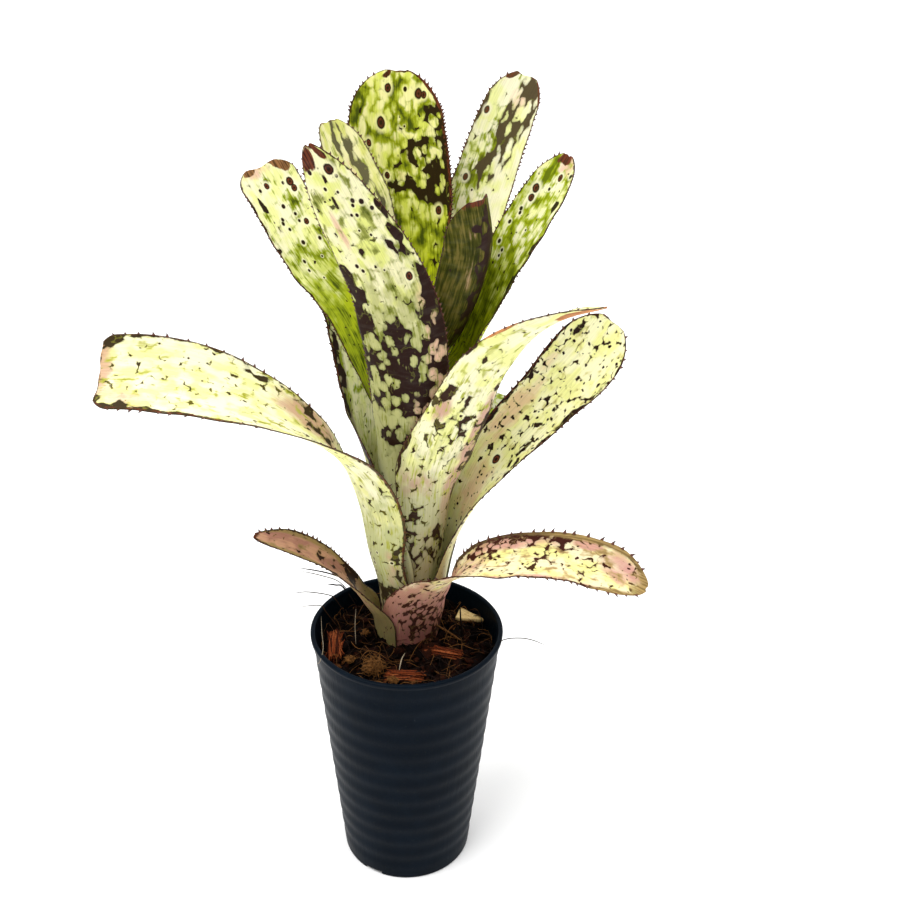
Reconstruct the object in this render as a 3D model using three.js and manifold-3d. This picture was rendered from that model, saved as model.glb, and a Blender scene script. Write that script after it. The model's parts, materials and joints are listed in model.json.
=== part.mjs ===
// Potted billbergia: a tank bromeliad in a black ripple-walled pot.
// Millimetres, +Z up, origin at the centre of the pot's underside.
// The leaves rise from a short stem as nested sheaths, which form the tube, and bend out of it one by one.
import * as THREE from 'three';
import Module from 'manifold-3d';
import { mergeVertices } from 'three/addons/utils/BufferGeometryUtils.js';

const wasm = await Module();
wasm.setup();

// Pot
const POT_HEIGHT = 149;
const POT_RIM_RADIUS = 52.5;
const POT_BASE_RADIUS = 36.5;
const POT_WALL = 1.2;
const POT_FLOOR = 2;
const POT_LIP = 0.8;
const POT_LIP_HEIGHT = 3;
const POT_SIDES = 32;
const RIPPLE_COUNT = 12;
const RIPPLE_DEPTH = 0.7;
const RIPPLE_START = 8;
const RIPPLE_END = 141;
const DRAIN_COUNT = 3;
const DRAIN_WIDTH = 11;
const DRAIN_HEIGHT = 2.2;
const DRAIN_REACH = 7;

// Substrate
const SEAT_GAP = 0.35;
const SOIL_LEVEL = 136.5;
const SOIL_RELIEF = 1.4;
const SOIL_RINGS = 6;
const MOUND_HEIGHT = 3;
const MOUND_REACH = 30;
const CHUNK_COUNT = 26;
const CHUNK_SIZE = [5, 10];
const CHUNK_WALL_GAP = 6;
const CHUNK_TUBE_GAP = 27;
const CHUNK_CHIP_GAP = 12;
const CHUNK_RISE = 0.5;
const CORNER_WANDER = 0.35;
const SEED = 41;

// Stem and tube: every sheath lies on a cone about the plant's axis
const AXIS_X = 0.5;
const AXIS_Y = 14;
const AXIS_LEAN = 0.03;
const AXIS_FROM = 140;
const TUBE_RADIUS = 3;
const TUBE_PITCH = 1.5;
const TUBE_LEVEL = 168;
const TUBE_FLARE = 0.0072;
const STEM_TOP = 166;
const STEM_SHOULDER = 131;
const STEM_FOOT = 120;
const STEM_FOOT_SHARE = 0.55;
const STEM_SIDES = 20;
const STEM_BEVEL = 4;
const STEM_CLEARANCE = 1.1;
const HOLE_CLEARANCE = 0.65;
const HOLE_MOUTH_CLEARANCE = 1.2;
const HOLE_RISE = 12;

// Leaves
const LEAF_THICKNESS = 0.7;
const THROAT_LENGTH = 20;
const FIRST_HIGH_LEAF = 6;
const STEM_STEP = 6;
const LEAST_NECK = 4;
const BLUNT_END = 0.5;
const SPINELESS_ROWS = 2;
const SLOPE_REACH = 0.5;
const ROW_STEP = 13.5;
const SHEATH_STEP = 26;
const TIP_ANGLES = [0.34, 0.68, 1];
const SPINE_LENGTH = 2.4;
const SPINE_HALF_BASE = 1.1;
const SPINE_ROW_SHARE = 0.35;
const SPINE_LEAN = 0.35;

// The leaves from the innermost to the outermost. Each leaves the tube at its throat height and then
// passes its stations: x, y and z of the midrib, the blade's width, the radius that its section is
// bent to and its roll about the midrib, in mm and degrees. Cups are the angles from the midrib to the
// margin, in the sheath and at the throat. The tip closes over its last stretch to a share of the width.
const LEAVES = [
  {
    name: 'leaf_01_furled', azimuth: 300, throat: 285, cups: [85, 85], tip: 14, end: 0.4, columns: 8,
    stations: [
      [26, 3, 321, 42, 14, 0],
      [33, -3, 343, 46, 15.5, 0],
      [37, -5, 363, 46, 15.5, 0],
      [34, -6, 388, 36, 13, 0],
    ],
  },
  {
    name: 'leaf_02_upper_right', azimuth: 15, throat: 270, cups: [85, 64], tip: 16, end: 0.25, columns: 6,
    stations: [
      [30, 7.5, 306, 32, 22, 20],
      [42, 10, 336, 32, 25, 30],
      [53, 13, 362, 30, 26, 36],
      [66, 15, 386, 25, 26, 40],
      [75, 17, 403, 18, 26, 40],
    ],
  },
  {
    name: 'leaf_03_upper_back_left', azimuth: 125, throat: 260, cups: [85, 64], tip: 14, end: 0.4, columns: 6,
    stations: [
      [-6, 19.5, 305, 24, 20, -4],
      [-13, 23, 347, 26, 24, -6],
      [-21, 27, 378, 30, 28, -10],
      [-32, 32, 398, 31, 30, -10],
      [-38.5, 36, 413, 27, 28, -10],
    ],
  },
  {
    name: 'leaf_04_tallest', azimuth: 100, throat: 270, cups: [85, 64], tip: 22, end: 0.25, columns: 6,
    stations: [
      [1, 29, 312, 30, 23, 0],
      [2, 36, 343, 34, 28, -5],
      [-1, 44, 374, 46, 37, -12],
      [-7, 53, 406, 49, 42, -16],
      [-7, 61, 433, 40, 40, -16],
    ],
  },
  {
    name: 'leaf_05_upper_back_right', azimuth: 60, throat: 265, cups: [85, 64], tip: 16, end: 0.4, columns: 6,
    stations: [
      [21.5, 33.5, 326, 27, 28, 12],
      [30, 44.5, 359, 32, 28, 20],
      [40, 53.5, 391, 30, 29, 28],
      [47.5, 59, 412, 28, 30, 30],
      [57, 64.5, 431, 23, 27, 30],
    ],
  },
  {
    name: 'leaf_06_upper_left', azimuth: 150, throat: 235, cups: [85, 64], tip: 10, end: 0.5, columns: 6,
    stations: [
      [-13, 23, 269, 33, 21, 0],
      [-19, 32, 298, 33, 26, -20],
      [-30, 42, 318, 32, 28, -25],
      [-49, 53, 338, 33, 30, -25],
      [-65, 64, 361, 33, 31, -25],
      [-78.5, 73, 382, 33, 30, -25],
    ],
  },
  {
    name: 'leaf_07_upper_front', azimuth: 255, throat: 250, cups: [85, 64], tip: 24, end: 0.2, columns: 6,
    stations: [
      [0, -15, 294, 42, 30, 0],
      [-2, -24, 331, 42, 34, 8],
      [-13, -33, 366, 37, 33, 18],
      [-25, -39, 390, 30, 30, 26],
      [-39, -45, 420, 14, 24, 30],
    ],
  },
  {
    name: 'leaf_08_front_arch', azimuth: 305, throat: 215, cups: [85, 64], tip: 16, end: 0.3, columns: 8,
    stations: [
      [16, -14, 254, 42, 23, -10],
      [26, -22, 286, 32, 21, -25],
      [38, -27, 313, 26, 18, -30],
      [56, -28, 330, 23, 18, -20],
      [74, -28, 340, 18, 15, -10],
      [92, -25, 344, 12, 12, -10],
    ],
  },
  {
    name: 'leaf_09_back_left', azimuth: 185, throat: 215, cups: [85, 64], tip: 16, end: 0.3, columns: 8,
    stations: [
      [-21, 20, 245, 36, 23, 0],
      [-24, 32, 265, 34, 25, -10],
      [-26, 44, 284, 33, 27, -15],
      [-31, 56, 303, 31, 29, -15],
      [-42, 68, 326, 24, 24, -15],
    ],
  },
  {
    name: 'leaf_10_left_arch', azimuth: 215, throat: 165, cups: [85, 64], tip: 8, end: 0.75, columns: 8,
    stations: [
      [-18, 2, 194, 40, 19, 0],
      [-19, -7, 223, 40, 21, 0],
      [-27, -16, 252, 38, 23, -5],
      [-48, -22, 277, 37, 28, -20],
      [-72, -24, 292, 38, 36, -32],
      [-97, -23, 301, 40, 41, -42],
      [-120, -22, 305, 40, 44, -45],
      [-145, -20, 305, 38, 45, -45],
    ],
  },
  {
    name: 'leaf_11_right_broad', azimuth: 15, throat: 180, cups: [85, 64], tip: 18, end: 0.35, columns: 8,
    stations: [
      [33, 15, 221, 35, 19, 20],
      [50, 18, 251, 33, 20, 45],
      [74, 22, 279, 36, 25, 55],
      [91, 25, 300, 38, 33, 60],
      [103, 27, 318, 32, 31, 60],
    ],
  },
  {
    name: 'leaf_12_low_back', azimuth: 65, throat: 175, cups: [64, 64], tip: 16, end: 0.3, columns: 8,
    stations: [
      [18, 42, 205, 40, 25, 0],
      [28, 52, 228, 38, 29, 0],
      [40, 65, 242, 36, 30, 0],
      [50, 78, 248, 30, 27, 0],
      [59, 92, 246, 20, 20, 0],
    ],
  },
  {
    name: 'leaf_13_low_right', azimuth: 285, throat: 152, cups: [64, 64], tip: 20, end: 0.2, columns: 8,
    stations: [
      [14, -9, 174, 38, 19, 0],
      [30, -17, 195, 30, 17, 20],
      [54, -22, 207, 26, 19, 40],
      [78, -25, 210, 26, 22, 40],
      [101, -28, 206, 26, 22, 40],
      [123, -30, 196, 18, 16, 30],
    ],
  },
  {
    name: 'leaf_14_low_left', azimuth: 200, throat: 148, cups: [50, 50], tip: 20, end: 0.2, columns: 8,
    stations: [
      [-23, 4, 162, 28, 17, 0],
      [-31, 0, 178, 18, 12, -15],
      [-44, -5, 194, 18, 12, -25],
      [-60, -9, 206, 16, 12, -30],
      [-78, -12, 213, 9, 8, -30],
    ],
  },
];

// Loose chips that lie on the substrate: place, size, turn about Z and tip about their own X
const CHIPS = [
  { name: 'wood_chip', at: [32.3, 23.2, 139.5], size: [18, 12, 3.4], turn: 140, tip: 12, look: 'wood' },
  { name: 'husk_chip_1', at: [-39, -6, 139.5], size: [8, 22, 6], turn: 4, tip: 10, look: 'husk' },
  { name: 'husk_chip_2', at: [0, -31, 139.5], size: [21, 8, 5], turn: -4, tip: 6, look: 'husk' },
  { name: 'husk_chip_3', at: [20.5, -11, 140], size: [21, 8, 5], turn: -16, tip: -8, look: 'husk' },
];

// Colours of the plain solids
const LOOKS = {
  pot: { color: 0x17191d, roughness: 0.42, metalness: 0 },
  soil: { color: 0x3a2418, roughness: 0.95, metalness: 0 },
  husk: { color: 0x8a4a22, roughness: 0.9, metalness: 0 },
  wood: { color: 0xb9924e, roughness: 0.8, metalness: 0 },
  stem: { color: 0x8c7a4e, roughness: 0.8, metalness: 0 },
  leaf: { color: 0xc9cf72, roughness: 0.5, metalness: 0 },
};

const radians = THREE.MathUtils.degToRad;

// Seeded random numbers from 0 to 1
function randomFrom(seed) {
  let state = seed;
  return () => {
    state = (state * 1664525 + 1013904223) % 4294967296;
    return state / 4294967296;
  };
}

// A three.js geometry as a solid that can be joined and cut
function toSolid(geometry) {
  const bare = geometry.clone();
  bare.deleteAttribute('normal');
  bare.deleteAttribute('uv');
  const merged = mergeVertices(bare, 1e-4);
  return new wasm.Manifold(new wasm.Mesh({
    numProp: 3,
    vertProperties: new Float32Array(merged.attributes.position.array),
    triVerts: new Uint32Array(merged.index.array),
  }));
}

// The solid back as a geometry
function toGeometry(solid) {
  const mesh = solid.getMesh();
  const geometry = new THREE.BufferGeometry();
  geometry.setAttribute('position', new THREE.BufferAttribute(new Float32Array(mesh.vertProperties), 3));
  geometry.setIndex(new THREE.BufferAttribute(new Uint32Array(mesh.triVerts), 1));
  return geometry;
}

// A geometry from lists of points and faces
function fromFaces(points, faces) {
  const geometry = new THREE.BufferGeometry();
  geometry.setAttribute('position', new THREE.Float32BufferAttribute(points.flat(), 3));
  geometry.setIndex(faces.flat());
  return geometry;
}

// A profile of radius and height pairs turned about Z
function turned(profile, sides) {
  const points = profile.map(([radius, height]) => new THREE.Vector2(radius, height));
  return new THREE.LatheGeometry(points, sides).rotateX(Math.PI / 2);
}

function potRadius(height) {
  return POT_BASE_RADIUS + (POT_RIM_RADIUS - POT_LIP - POT_BASE_RADIUS) * height / POT_HEIGHT;
}

// The pot's wall ripples gently, with a thin lip at the rim and drain slots round the foot
function potSolid() {
  const outside = [[0, 0], [potRadius(0) - 1, 0], [potRadius(0), 1]];
  for (let step = 0; step <= 2 * RIPPLE_COUNT; step += 1) {
    const height = RIPPLE_START + (RIPPLE_END - RIPPLE_START) * step / (2 * RIPPLE_COUNT);
    outside.push([potRadius(height) - (step % 2 ? RIPPLE_DEPTH : 0), height]);
  }
  const lipFoot = POT_HEIGHT - POT_LIP_HEIGHT;
  const rim = [
    [potRadius(lipFoot), lipFoot],
    [POT_RIM_RADIUS, lipFoot + POT_LIP],
    [POT_RIM_RADIUS, POT_HEIGHT - POT_LIP],
    [POT_RIM_RADIUS - POT_LIP, POT_HEIGHT],
    [innerRadius(POT_HEIGHT), POT_HEIGHT],
  ];
  const inside = [[innerRadius(POT_FLOOR), POT_FLOOR], [0, POT_FLOOR]];
  let solid = toSolid(turned([...outside, ...rim, ...inside], POT_SIDES));
  for (let slot = 0; slot < DRAIN_COUNT; slot += 1) {
    const cutter = new THREE.BoxGeometry(2 * DRAIN_REACH, DRAIN_WIDTH, 2 * DRAIN_HEIGHT)
      .translate(potRadius(0), 0, 0)
      .rotateZ(slot * 2 * Math.PI / DRAIN_COUNT);
    solid = solid.subtract(toSolid(cutter));
  }
  return toGeometry(solid);
}

// Inner radius of the pot, which is also the substrate's outer radius but for the gap
function innerRadius(height) {
  return potRadius(height) - RIPPLE_DEPTH - POT_WALL;
}

function axisX(height) {
  return AXIS_X + AXIS_LEAN * (height - AXIS_FROM);
}

// Inner radius of a leaf's sheath, from its place in the nest
function sheathRadius(order, height) {
  return (TUBE_RADIUS + TUBE_PITCH * order) * (1 + TUBE_FLARE * (height - TUBE_LEVEL));
}

// Height at which a sheath grows from the stem: the inner leaves start higher up its cone
function sheathFoot(order) {
  return STEM_SHOULDER + SEAT_GAP + Math.max(0, FIRST_HIGH_LEAF - order) * STEM_STEP;
}

// Smooth relief of the substrate's top, heaped a little round the tube
function soilHeight(x, y) {
  const waves = Math.sin(0.17 * x + 1) * Math.cos(0.21 * y) + 0.6 * Math.sin(0.43 * x - 0.37 * y);
  const fromTube = Math.hypot(x - axisX(SOIL_LEVEL), y - AXIS_Y);
  return SOIL_LEVEL + SOIL_RELIEF * waves + MOUND_HEIGHT * Math.exp(-((fromTube / MOUND_REACH) ** 2));
}

// The substrate fills the pot, with a relief on top
function soilBody() {
  const points = [];
  const faces = [];
  const ring = (radius, heightAt) => {
    for (let side = 0; side < POT_SIDES; side += 1) {
      const angle = side * 2 * Math.PI / POT_SIDES;
      const x = radius * Math.cos(angle);
      const y = radius * Math.sin(angle);
      points.push([x, y, heightAt(x, y)]);
    }
  };
  const floor = POT_FLOOR + SEAT_GAP;
  const flat = () => floor;
  const edge = innerRadius(SOIL_LEVEL - 2 * SOIL_RELIEF) - SEAT_GAP;
  ring(innerRadius(floor) - SEAT_GAP, flat);
  for (let step = 0; step < SOIL_RINGS; step += 1) {
    ring(edge * (1 - step / SOIL_RINGS), soilHeight);
  }
  for (let row = 0; row < SOIL_RINGS; row += 1) {
    for (let side = 0; side < POT_SIDES; side += 1) {
      const next = (side + 1) % POT_SIDES;
      const a = row * POT_SIDES + side;
      const b = row * POT_SIDES + next;
      faces.push([a, b, b + POT_SIDES], [a, b + POT_SIDES, a + POT_SIDES]);
    }
  }
  const bottom = points.length;
  points.push([0, 0, floor], [0, 0, soilHeight(0, 0)]);
  for (let side = 0; side < POT_SIDES; side += 1) {
    const next = (side + 1) % POT_SIDES;
    const top = SOIL_RINGS * POT_SIDES;
    faces.push([next, side, bottom], [top + side, top + next, bottom + 1]);
  }
  return toSolid(fromFaces(points, faces));
}

// A broken lump of bark or pumice: a box with its corners moved
function lump(size, random) {
  const geometry = new THREE.BoxGeometry(size[0], size[1], size[2]);
  geometry.deleteAttribute('normal');
  geometry.deleteAttribute('uv');
  const merged = mergeVertices(geometry, 1e-4);
  const position = merged.attributes.position;
  for (let corner = 0; corner < position.count; corner += 1) {
    const moved = [position.getX(corner), position.getY(corner), position.getZ(corner)]
      .map((value, axis) => value + (random() - 0.5) * CORNER_WANDER * size[axis]);
    position.setXYZ(corner, ...moved);
  }
  return merged;
}

// Seated chip as a solid; grow widens it into the pocket that it rests in
function chipGeometry(chip, grow) {
  const random = randomFrom(SEED + chip.name.length + Math.round(Math.abs(chip.at[0])));
  const geometry = lump(chip.size, random);
  const wider = chip.size.map((size) => (size + 2 * grow) / size);
  return geometry
    .scale(...wider)
    .rotateX(radians(chip.tip))
    .rotateZ(radians(chip.turn))
    .translate(...chip.at);
}

// Lumps scattered over the top, clear of the tube and of the pot's wall
function chunkSolids() {
  const random = randomFrom(SEED);
  const solids = [];
  const reach = innerRadius(SOIL_LEVEL) - SEAT_GAP - CHUNK_WALL_GAP;
  const [least, most] = CHUNK_SIZE;
  while (solids.length < CHUNK_COUNT) {
    const angle = random() * 2 * Math.PI;
    const size = least + random() * (most - least);
    const radius = Math.sqrt(random()) * reach;
    const x = radius * Math.cos(angle);
    const y = radius * Math.sin(angle);
    const shape = lump([size, size * (0.6 + 0.3 * random()), size * 0.6], random);
    const spins = [random(), random(), random()].map((value) => value * Math.PI);
    const fromTube = Math.hypot(x - axisX(SOIL_LEVEL), y - AXIS_Y);
    const fromChips = Math.min(...CHIPS.map((chip) => Math.hypot(x - chip.at[0], y - chip.at[1])));
    if (fromTube > CHUNK_TUBE_GAP && fromChips > CHUNK_CHIP_GAP) {
      shape.rotateX(spins[0]).rotateY(spins[1]).rotateZ(spins[2]);
      solids.push(toSolid(shape.translate(x, y, soilHeight(x, y) + CHUNK_RISE)));
    }
  }
  return solids;
}

// The stem: a stout foot, a shoulder under the outer sheaths and a cone inside the inner ones
function stemSolid() {
  const shoulder = sheathRadius(LEAVES.length, STEM_SHOULDER);
  const profile = [
    [0, STEM_FOOT],
    [STEM_FOOT_SHARE * shoulder, STEM_FOOT],
    [shoulder, STEM_SHOULDER - STEM_BEVEL],
    [shoulder, STEM_SHOULDER],
    [sheathRadius(FIRST_HIGH_LEAF, STEM_SHOULDER) - STEM_CLEARANCE, STEM_SHOULDER],
    [sheathRadius(0, STEM_TOP) - STEM_CLEARANCE, STEM_TOP],
    [0, STEM_TOP],
  ];
  return turned(profile, STEM_SIDES).translate(axisX(STEM_SHOULDER), AXIS_Y, 0);
}

// The hole in the substrate that the stem and the sheaths stand in
function plantHole() {
  const shoulder = sheathRadius(LEAVES.length, STEM_SHOULDER) + HOLE_CLEARANCE;
  const top = SOIL_LEVEL + HOLE_RISE;
  const profile = [
    [0, STEM_FOOT - SEAT_GAP],
    [STEM_FOOT_SHARE * shoulder, STEM_FOOT - SEAT_GAP],
    [shoulder, STEM_SHOULDER - STEM_BEVEL - SEAT_GAP],
    [sheathRadius(LEAVES.length, top) + HOLE_MOUTH_CLEARANCE, top],
    [0, top],
  ];
  return toSolid(turned(profile, 2 * STEM_SIDES).translate(axisX(STEM_SHOULDER), AXIS_Y, 0));
}

function substrateSolid() {
  let solid = soilBody();
  chunkSolids().forEach((chunk) => {
    solid = solid.add(chunk);
  });
  CHIPS.forEach((chip) => {
    solid = solid.subtract(toSolid(chipGeometry(chip, SEAT_GAP)));
  });
  return toGeometry(solid.subtract(plantHole()));
}

// A smooth curve through stations of any number of values, measured by chord length in mm.
// Each slope is the mean of its two neighbours' slopes, weighted by the opposite chord. The first
// stretch, up to the station numbered straight, keeps the slope of its own chords.
function curveThrough(stations, straight) {
  const knots = [0];
  for (let index = 1; index < stations.length; index += 1) {
    const [here, before] = [stations[index], stations[index - 1]];
    knots.push(knots[index - 1] + Math.hypot(here[0] - before[0], here[1] - before[1], here[2] - before[2]));
  }
  const last = stations.length - 1;
  const width = stations[0].length;
  const chord = (index, axis) => (stations[index + 1][axis] - stations[index][axis])
    / (knots[index + 1] - knots[index]);
  const slope = (index, axis) => {
    if (index === 0) {
      return chord(0, axis);
    }
    if (index === last || index === straight) {
      return chord(index - 1, axis);
    }
    const before = knots[index] - knots[index - 1];
    const after = knots[index + 1] - knots[index];
    return (after * chord(index - 1, axis) + before * chord(index, axis)) / (before + after);
  };
  const at = (length) => {
    let index = 0;
    while (index < last - 1 && length > knots[index + 1]) {
      index += 1;
    }
    const span = knots[index + 1] - knots[index];
    const u = (length - knots[index]) / span;
    const values = [];
    for (let axis = 0; axis < width; axis += 1) {
      const start = stations[index][axis];
      const end = stations[index + 1][axis];
      values.push((2 * u ** 3 - 3 * u ** 2 + 1) * start
        + (u ** 3 - 2 * u ** 2 + u) * span * slope(index, axis)
        + (3 * u ** 2 - 2 * u ** 3) * end
        + (u ** 3 - u ** 2) * span * slope(index + 1, axis));
    }
    return values;
  };
  return { at, length: knots[last], knots };
}

// Stations of the sheath, on its cone inside the tube
function sheathStations(leaf, order) {
  const foot = sheathFoot(order);
  const neck = Math.max(foot + LEAST_NECK, leaf.throat - THROAT_LENGTH);
  const [sheathCup, throatCup] = leaf.cups;
  const heights = [[foot, sheathCup], [neck, sheathCup], [leaf.throat, throatCup]];
  return heights.map(([height, cup]) => {
    const radius = sheathRadius(order, height);
    const angle = radians(leaf.azimuth);
    const x = axisX(height) + radius * Math.cos(angle);
    const y = AXIS_Y + radius * Math.sin(angle);
    return [x, y, height, 2 * radians(cup) * radius, radius, 0];
  });
}

// The leaf's surface: a point and its frame at a length along the midrib and a share across, -1 to 1.
// The section is an arc that bends towards the plant's axis; its normal faces the axis too.
function leafSurface(leaf, order) {
  const sheath = sheathStations(leaf, order);
  const curve = curveThrough([...sheath, ...leaf.stations], sheath.length - 1);
  const tipStart = curve.length - leaf.tip;
  const tipShare = (length) => {
    const reach = Math.max(0, (length - tipStart) / leaf.tip);
    return Math.sqrt(1 - (1 - leaf.end ** 2) * reach ** 2);
  };
  const point = (length, across) => {
    const [x, y, z, width, radius, roll] = curve.at(length);
    const ahead = curve.at(Math.min(curve.length, length + SLOPE_REACH));
    const behind = curve.at(Math.max(0, length - SLOPE_REACH));
    const along = new THREE.Vector3(ahead[0] - behind[0], ahead[1] - behind[1], ahead[2] - behind[2])
      .normalize();
    const outward = new THREE.Vector3(x - axisX(z), y - AXIS_Y, 0).normalize();
    const side = new THREE.Vector3(-outward.y, outward.x, 0);
    side.addScaledVector(along, -side.dot(along)).normalize();
    side.applyAxisAngle(along, radians(roll));
    const inward = along.clone().cross(side);
    const turn = across * width * tipShare(length) / (2 * radius);
    const place = new THREE.Vector3(x, y, z)
      .addScaledVector(inward, radius * (1 - Math.cos(turn)))
      .addScaledVector(side, radius * Math.sin(turn));
    const normal = inward.clone().multiplyScalar(Math.cos(turn)).addScaledVector(side, -Math.sin(turn));
    const edge = side.clone().multiplyScalar(Math.cos(turn)).addScaledVector(inward, Math.sin(turn));
    return { place, normal, edge, along };
  };
  return { point, curve, tipStart };
}

// Lengths at which the leaf has a row of points: sparse in the sheath, even along the blade, close at the tip
function leafRows(surface) {
  const bladeStart = surface.curve.knots[1];
  const rows = [];
  const sheathCount = Math.ceil(bladeStart / SHEATH_STEP);
  for (let row = 0; row < sheathCount; row += 1) {
    rows.push(bladeStart * row / sheathCount);
  }
  const bladeCount = Math.round((surface.tipStart - bladeStart) / ROW_STEP);
  for (let row = 0; row <= bladeCount; row += 1) {
    rows.push(bladeStart + (surface.tipStart - bladeStart) * row / bladeCount);
  }
  const tip = surface.curve.length - surface.tipStart;
  TIP_ANGLES.forEach((share) => rows.push(surface.tipStart + tip * Math.sin(share * Math.PI / 2)));
  return { rows, firstSpined: sheathCount + SPINELESS_ROWS };
}

// One leaf as a closed solid with a spine on each margin in every row of the blade.
// Both faces are split into triangles alike, because the blade is waved.
function leafSolid(leaf, order) {
  const surface = leafSurface(leaf, order);
  const { rows, firstSpined } = leafRows(surface);
  const points = [];
  const faces = [];
  const spots = [];
  const addSpot = (length, across) => {
    const spot = surface.point(length, across);
    spots.push(spot);
    points.push(spot.place.toArray());
    points.push(spot.place.clone().addScaledVector(spot.normal, -LEAF_THICKNESS).toArray());
    return spots.length - 1;
  };
  const grid = rows.map((length) => {
    const row = [];
    for (let column = 0; column <= leaf.columns; column += 1) {
      row.push(addSpot(length, -1 + 2 * column / leaf.columns));
    }
    return row;
  });
  const face = (a, b, c) => {
    faces.push([2 * a, 2 * b, 2 * c]);
    faces.push([2 * a + 1, 2 * c + 1, 2 * b + 1]);
  };
  const wall = (a, b) => {
    faces.push([2 * a, 2 * b, 2 * b + 1]);
    faces.push([2 * a, 2 * b + 1, 2 * a + 1]);
  };
  const spine = (a, b, across) => {
    const [first, second] = [spots[a], spots[b]];
    const apex = first.place.clone().add(second.place).multiplyScalar(0.5)
      .addScaledVector(first.normal, -LEAF_THICKNESS / 2)
      .addScaledVector(first.edge, across * SPINE_LENGTH)
      .addScaledVector(first.along, SPINE_LEAN * SPINE_LENGTH);
    points.push(apex.toArray(), apex.toArray());
    spots.push(null);
    const top = 2 * (spots.length - 1);
    faces.push([2 * a, 2 * b, top], [2 * b, 2 * b + 1, top]);
    faces.push([2 * b + 1, 2 * a + 1, top], [2 * a + 1, 2 * a, top]);
  };
  const last = rows.length - 1;
  for (let row = 0; row < last; row += 1) {
    for (let column = 0; column < leaf.columns; column += 1) {
      const [a, b] = [grid[row][column], grid[row + 1][column]];
      const [c, d] = [grid[row + 1][column + 1], grid[row][column + 1]];
      const atEdge = column === 0 || column === leaf.columns - 1;
      const cutEnd = leaf.end >= BLUNT_END && row === last - 1;
      if (!atEdge || row < firstSpined || cutEnd) {
        face(a, b, c);
        face(a, c, d);
        if (column === leaf.columns - 1) {
          wall(d, c);
        }
        if (column === 0) {
          wall(b, a);
        }
        continue;
      }
      const middle = (rows[row] + rows[row + 1]) / 2;
      const halfBase = Math.min(SPINE_HALF_BASE, SPINE_ROW_SHARE * (rows[row + 1] - rows[row]));
      const across = column === 0 ? -1 : 1;
      const low = addSpot(middle - halfBase, across);
      const high = addSpot(middle + halfBase, across);
      if (across > 0) {
        face(a, low, d);
        face(a, b, low);
        face(b, c, high);
        face(b, high, low);
        wall(d, low);
        spine(low, high, across);
        wall(high, c);
      } else {
        face(d, a, low);
        face(d, low, c);
        face(c, high, b);
        face(c, low, high);
        wall(b, high);
        spine(high, low, across);
        wall(low, a);
      }
    }
  }
  for (let column = 0; column < leaf.columns; column += 1) {
    wall(grid[0][column], grid[0][column + 1]);
    wall(grid[last][column + 1], grid[last][column]);
  }
  return tidyFaces(points, faces);
}

// Drops the unused second copy of each spine's point
function tidyFaces(points, faces) {
  const used = new Map();
  const kept = [];
  const list = faces.map((face) => face.map((index) => {
    if (!used.has(index)) {
      used.set(index, kept.length);
      kept.push(points[index]);
    }
    return used.get(index);
  }));
  return fromFaces(kept, list);
}

function addMesh(group, name, geometry, look) {
  const mesh = new THREE.Mesh(geometry, new THREE.MeshStandardMaterial(LOOKS[look]));
  mesh.name = name;
  group.add(mesh);
}

const billbergia = new THREE.Group();
addMesh(billbergia, 'pot', potSolid(), 'pot');
addMesh(billbergia, 'substrate', substrateSolid(), 'soil');
CHIPS.forEach((chip) => addMesh(billbergia, chip.name, chipGeometry(chip, 0), chip.look));
addMesh(billbergia, 'stem', stemSolid(), 'stem');
LEAVES.forEach((leaf, order) => addMesh(billbergia, leaf.name, leafSolid(leaf, order), 'leaf'));

export default billbergia;
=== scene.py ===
"""Looks of a potted billbergia: spotted, spiny strap leaves in a black ripple-walled pot of bark mix.

Laid out as an add-on: each operator makes one piece or one group of like pieces.
Sizes are in millimetres unless a name says otherwise, and meshes are written in metres. Tones are linear.
"""

import json
import math
from collections import namedtuple

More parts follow.
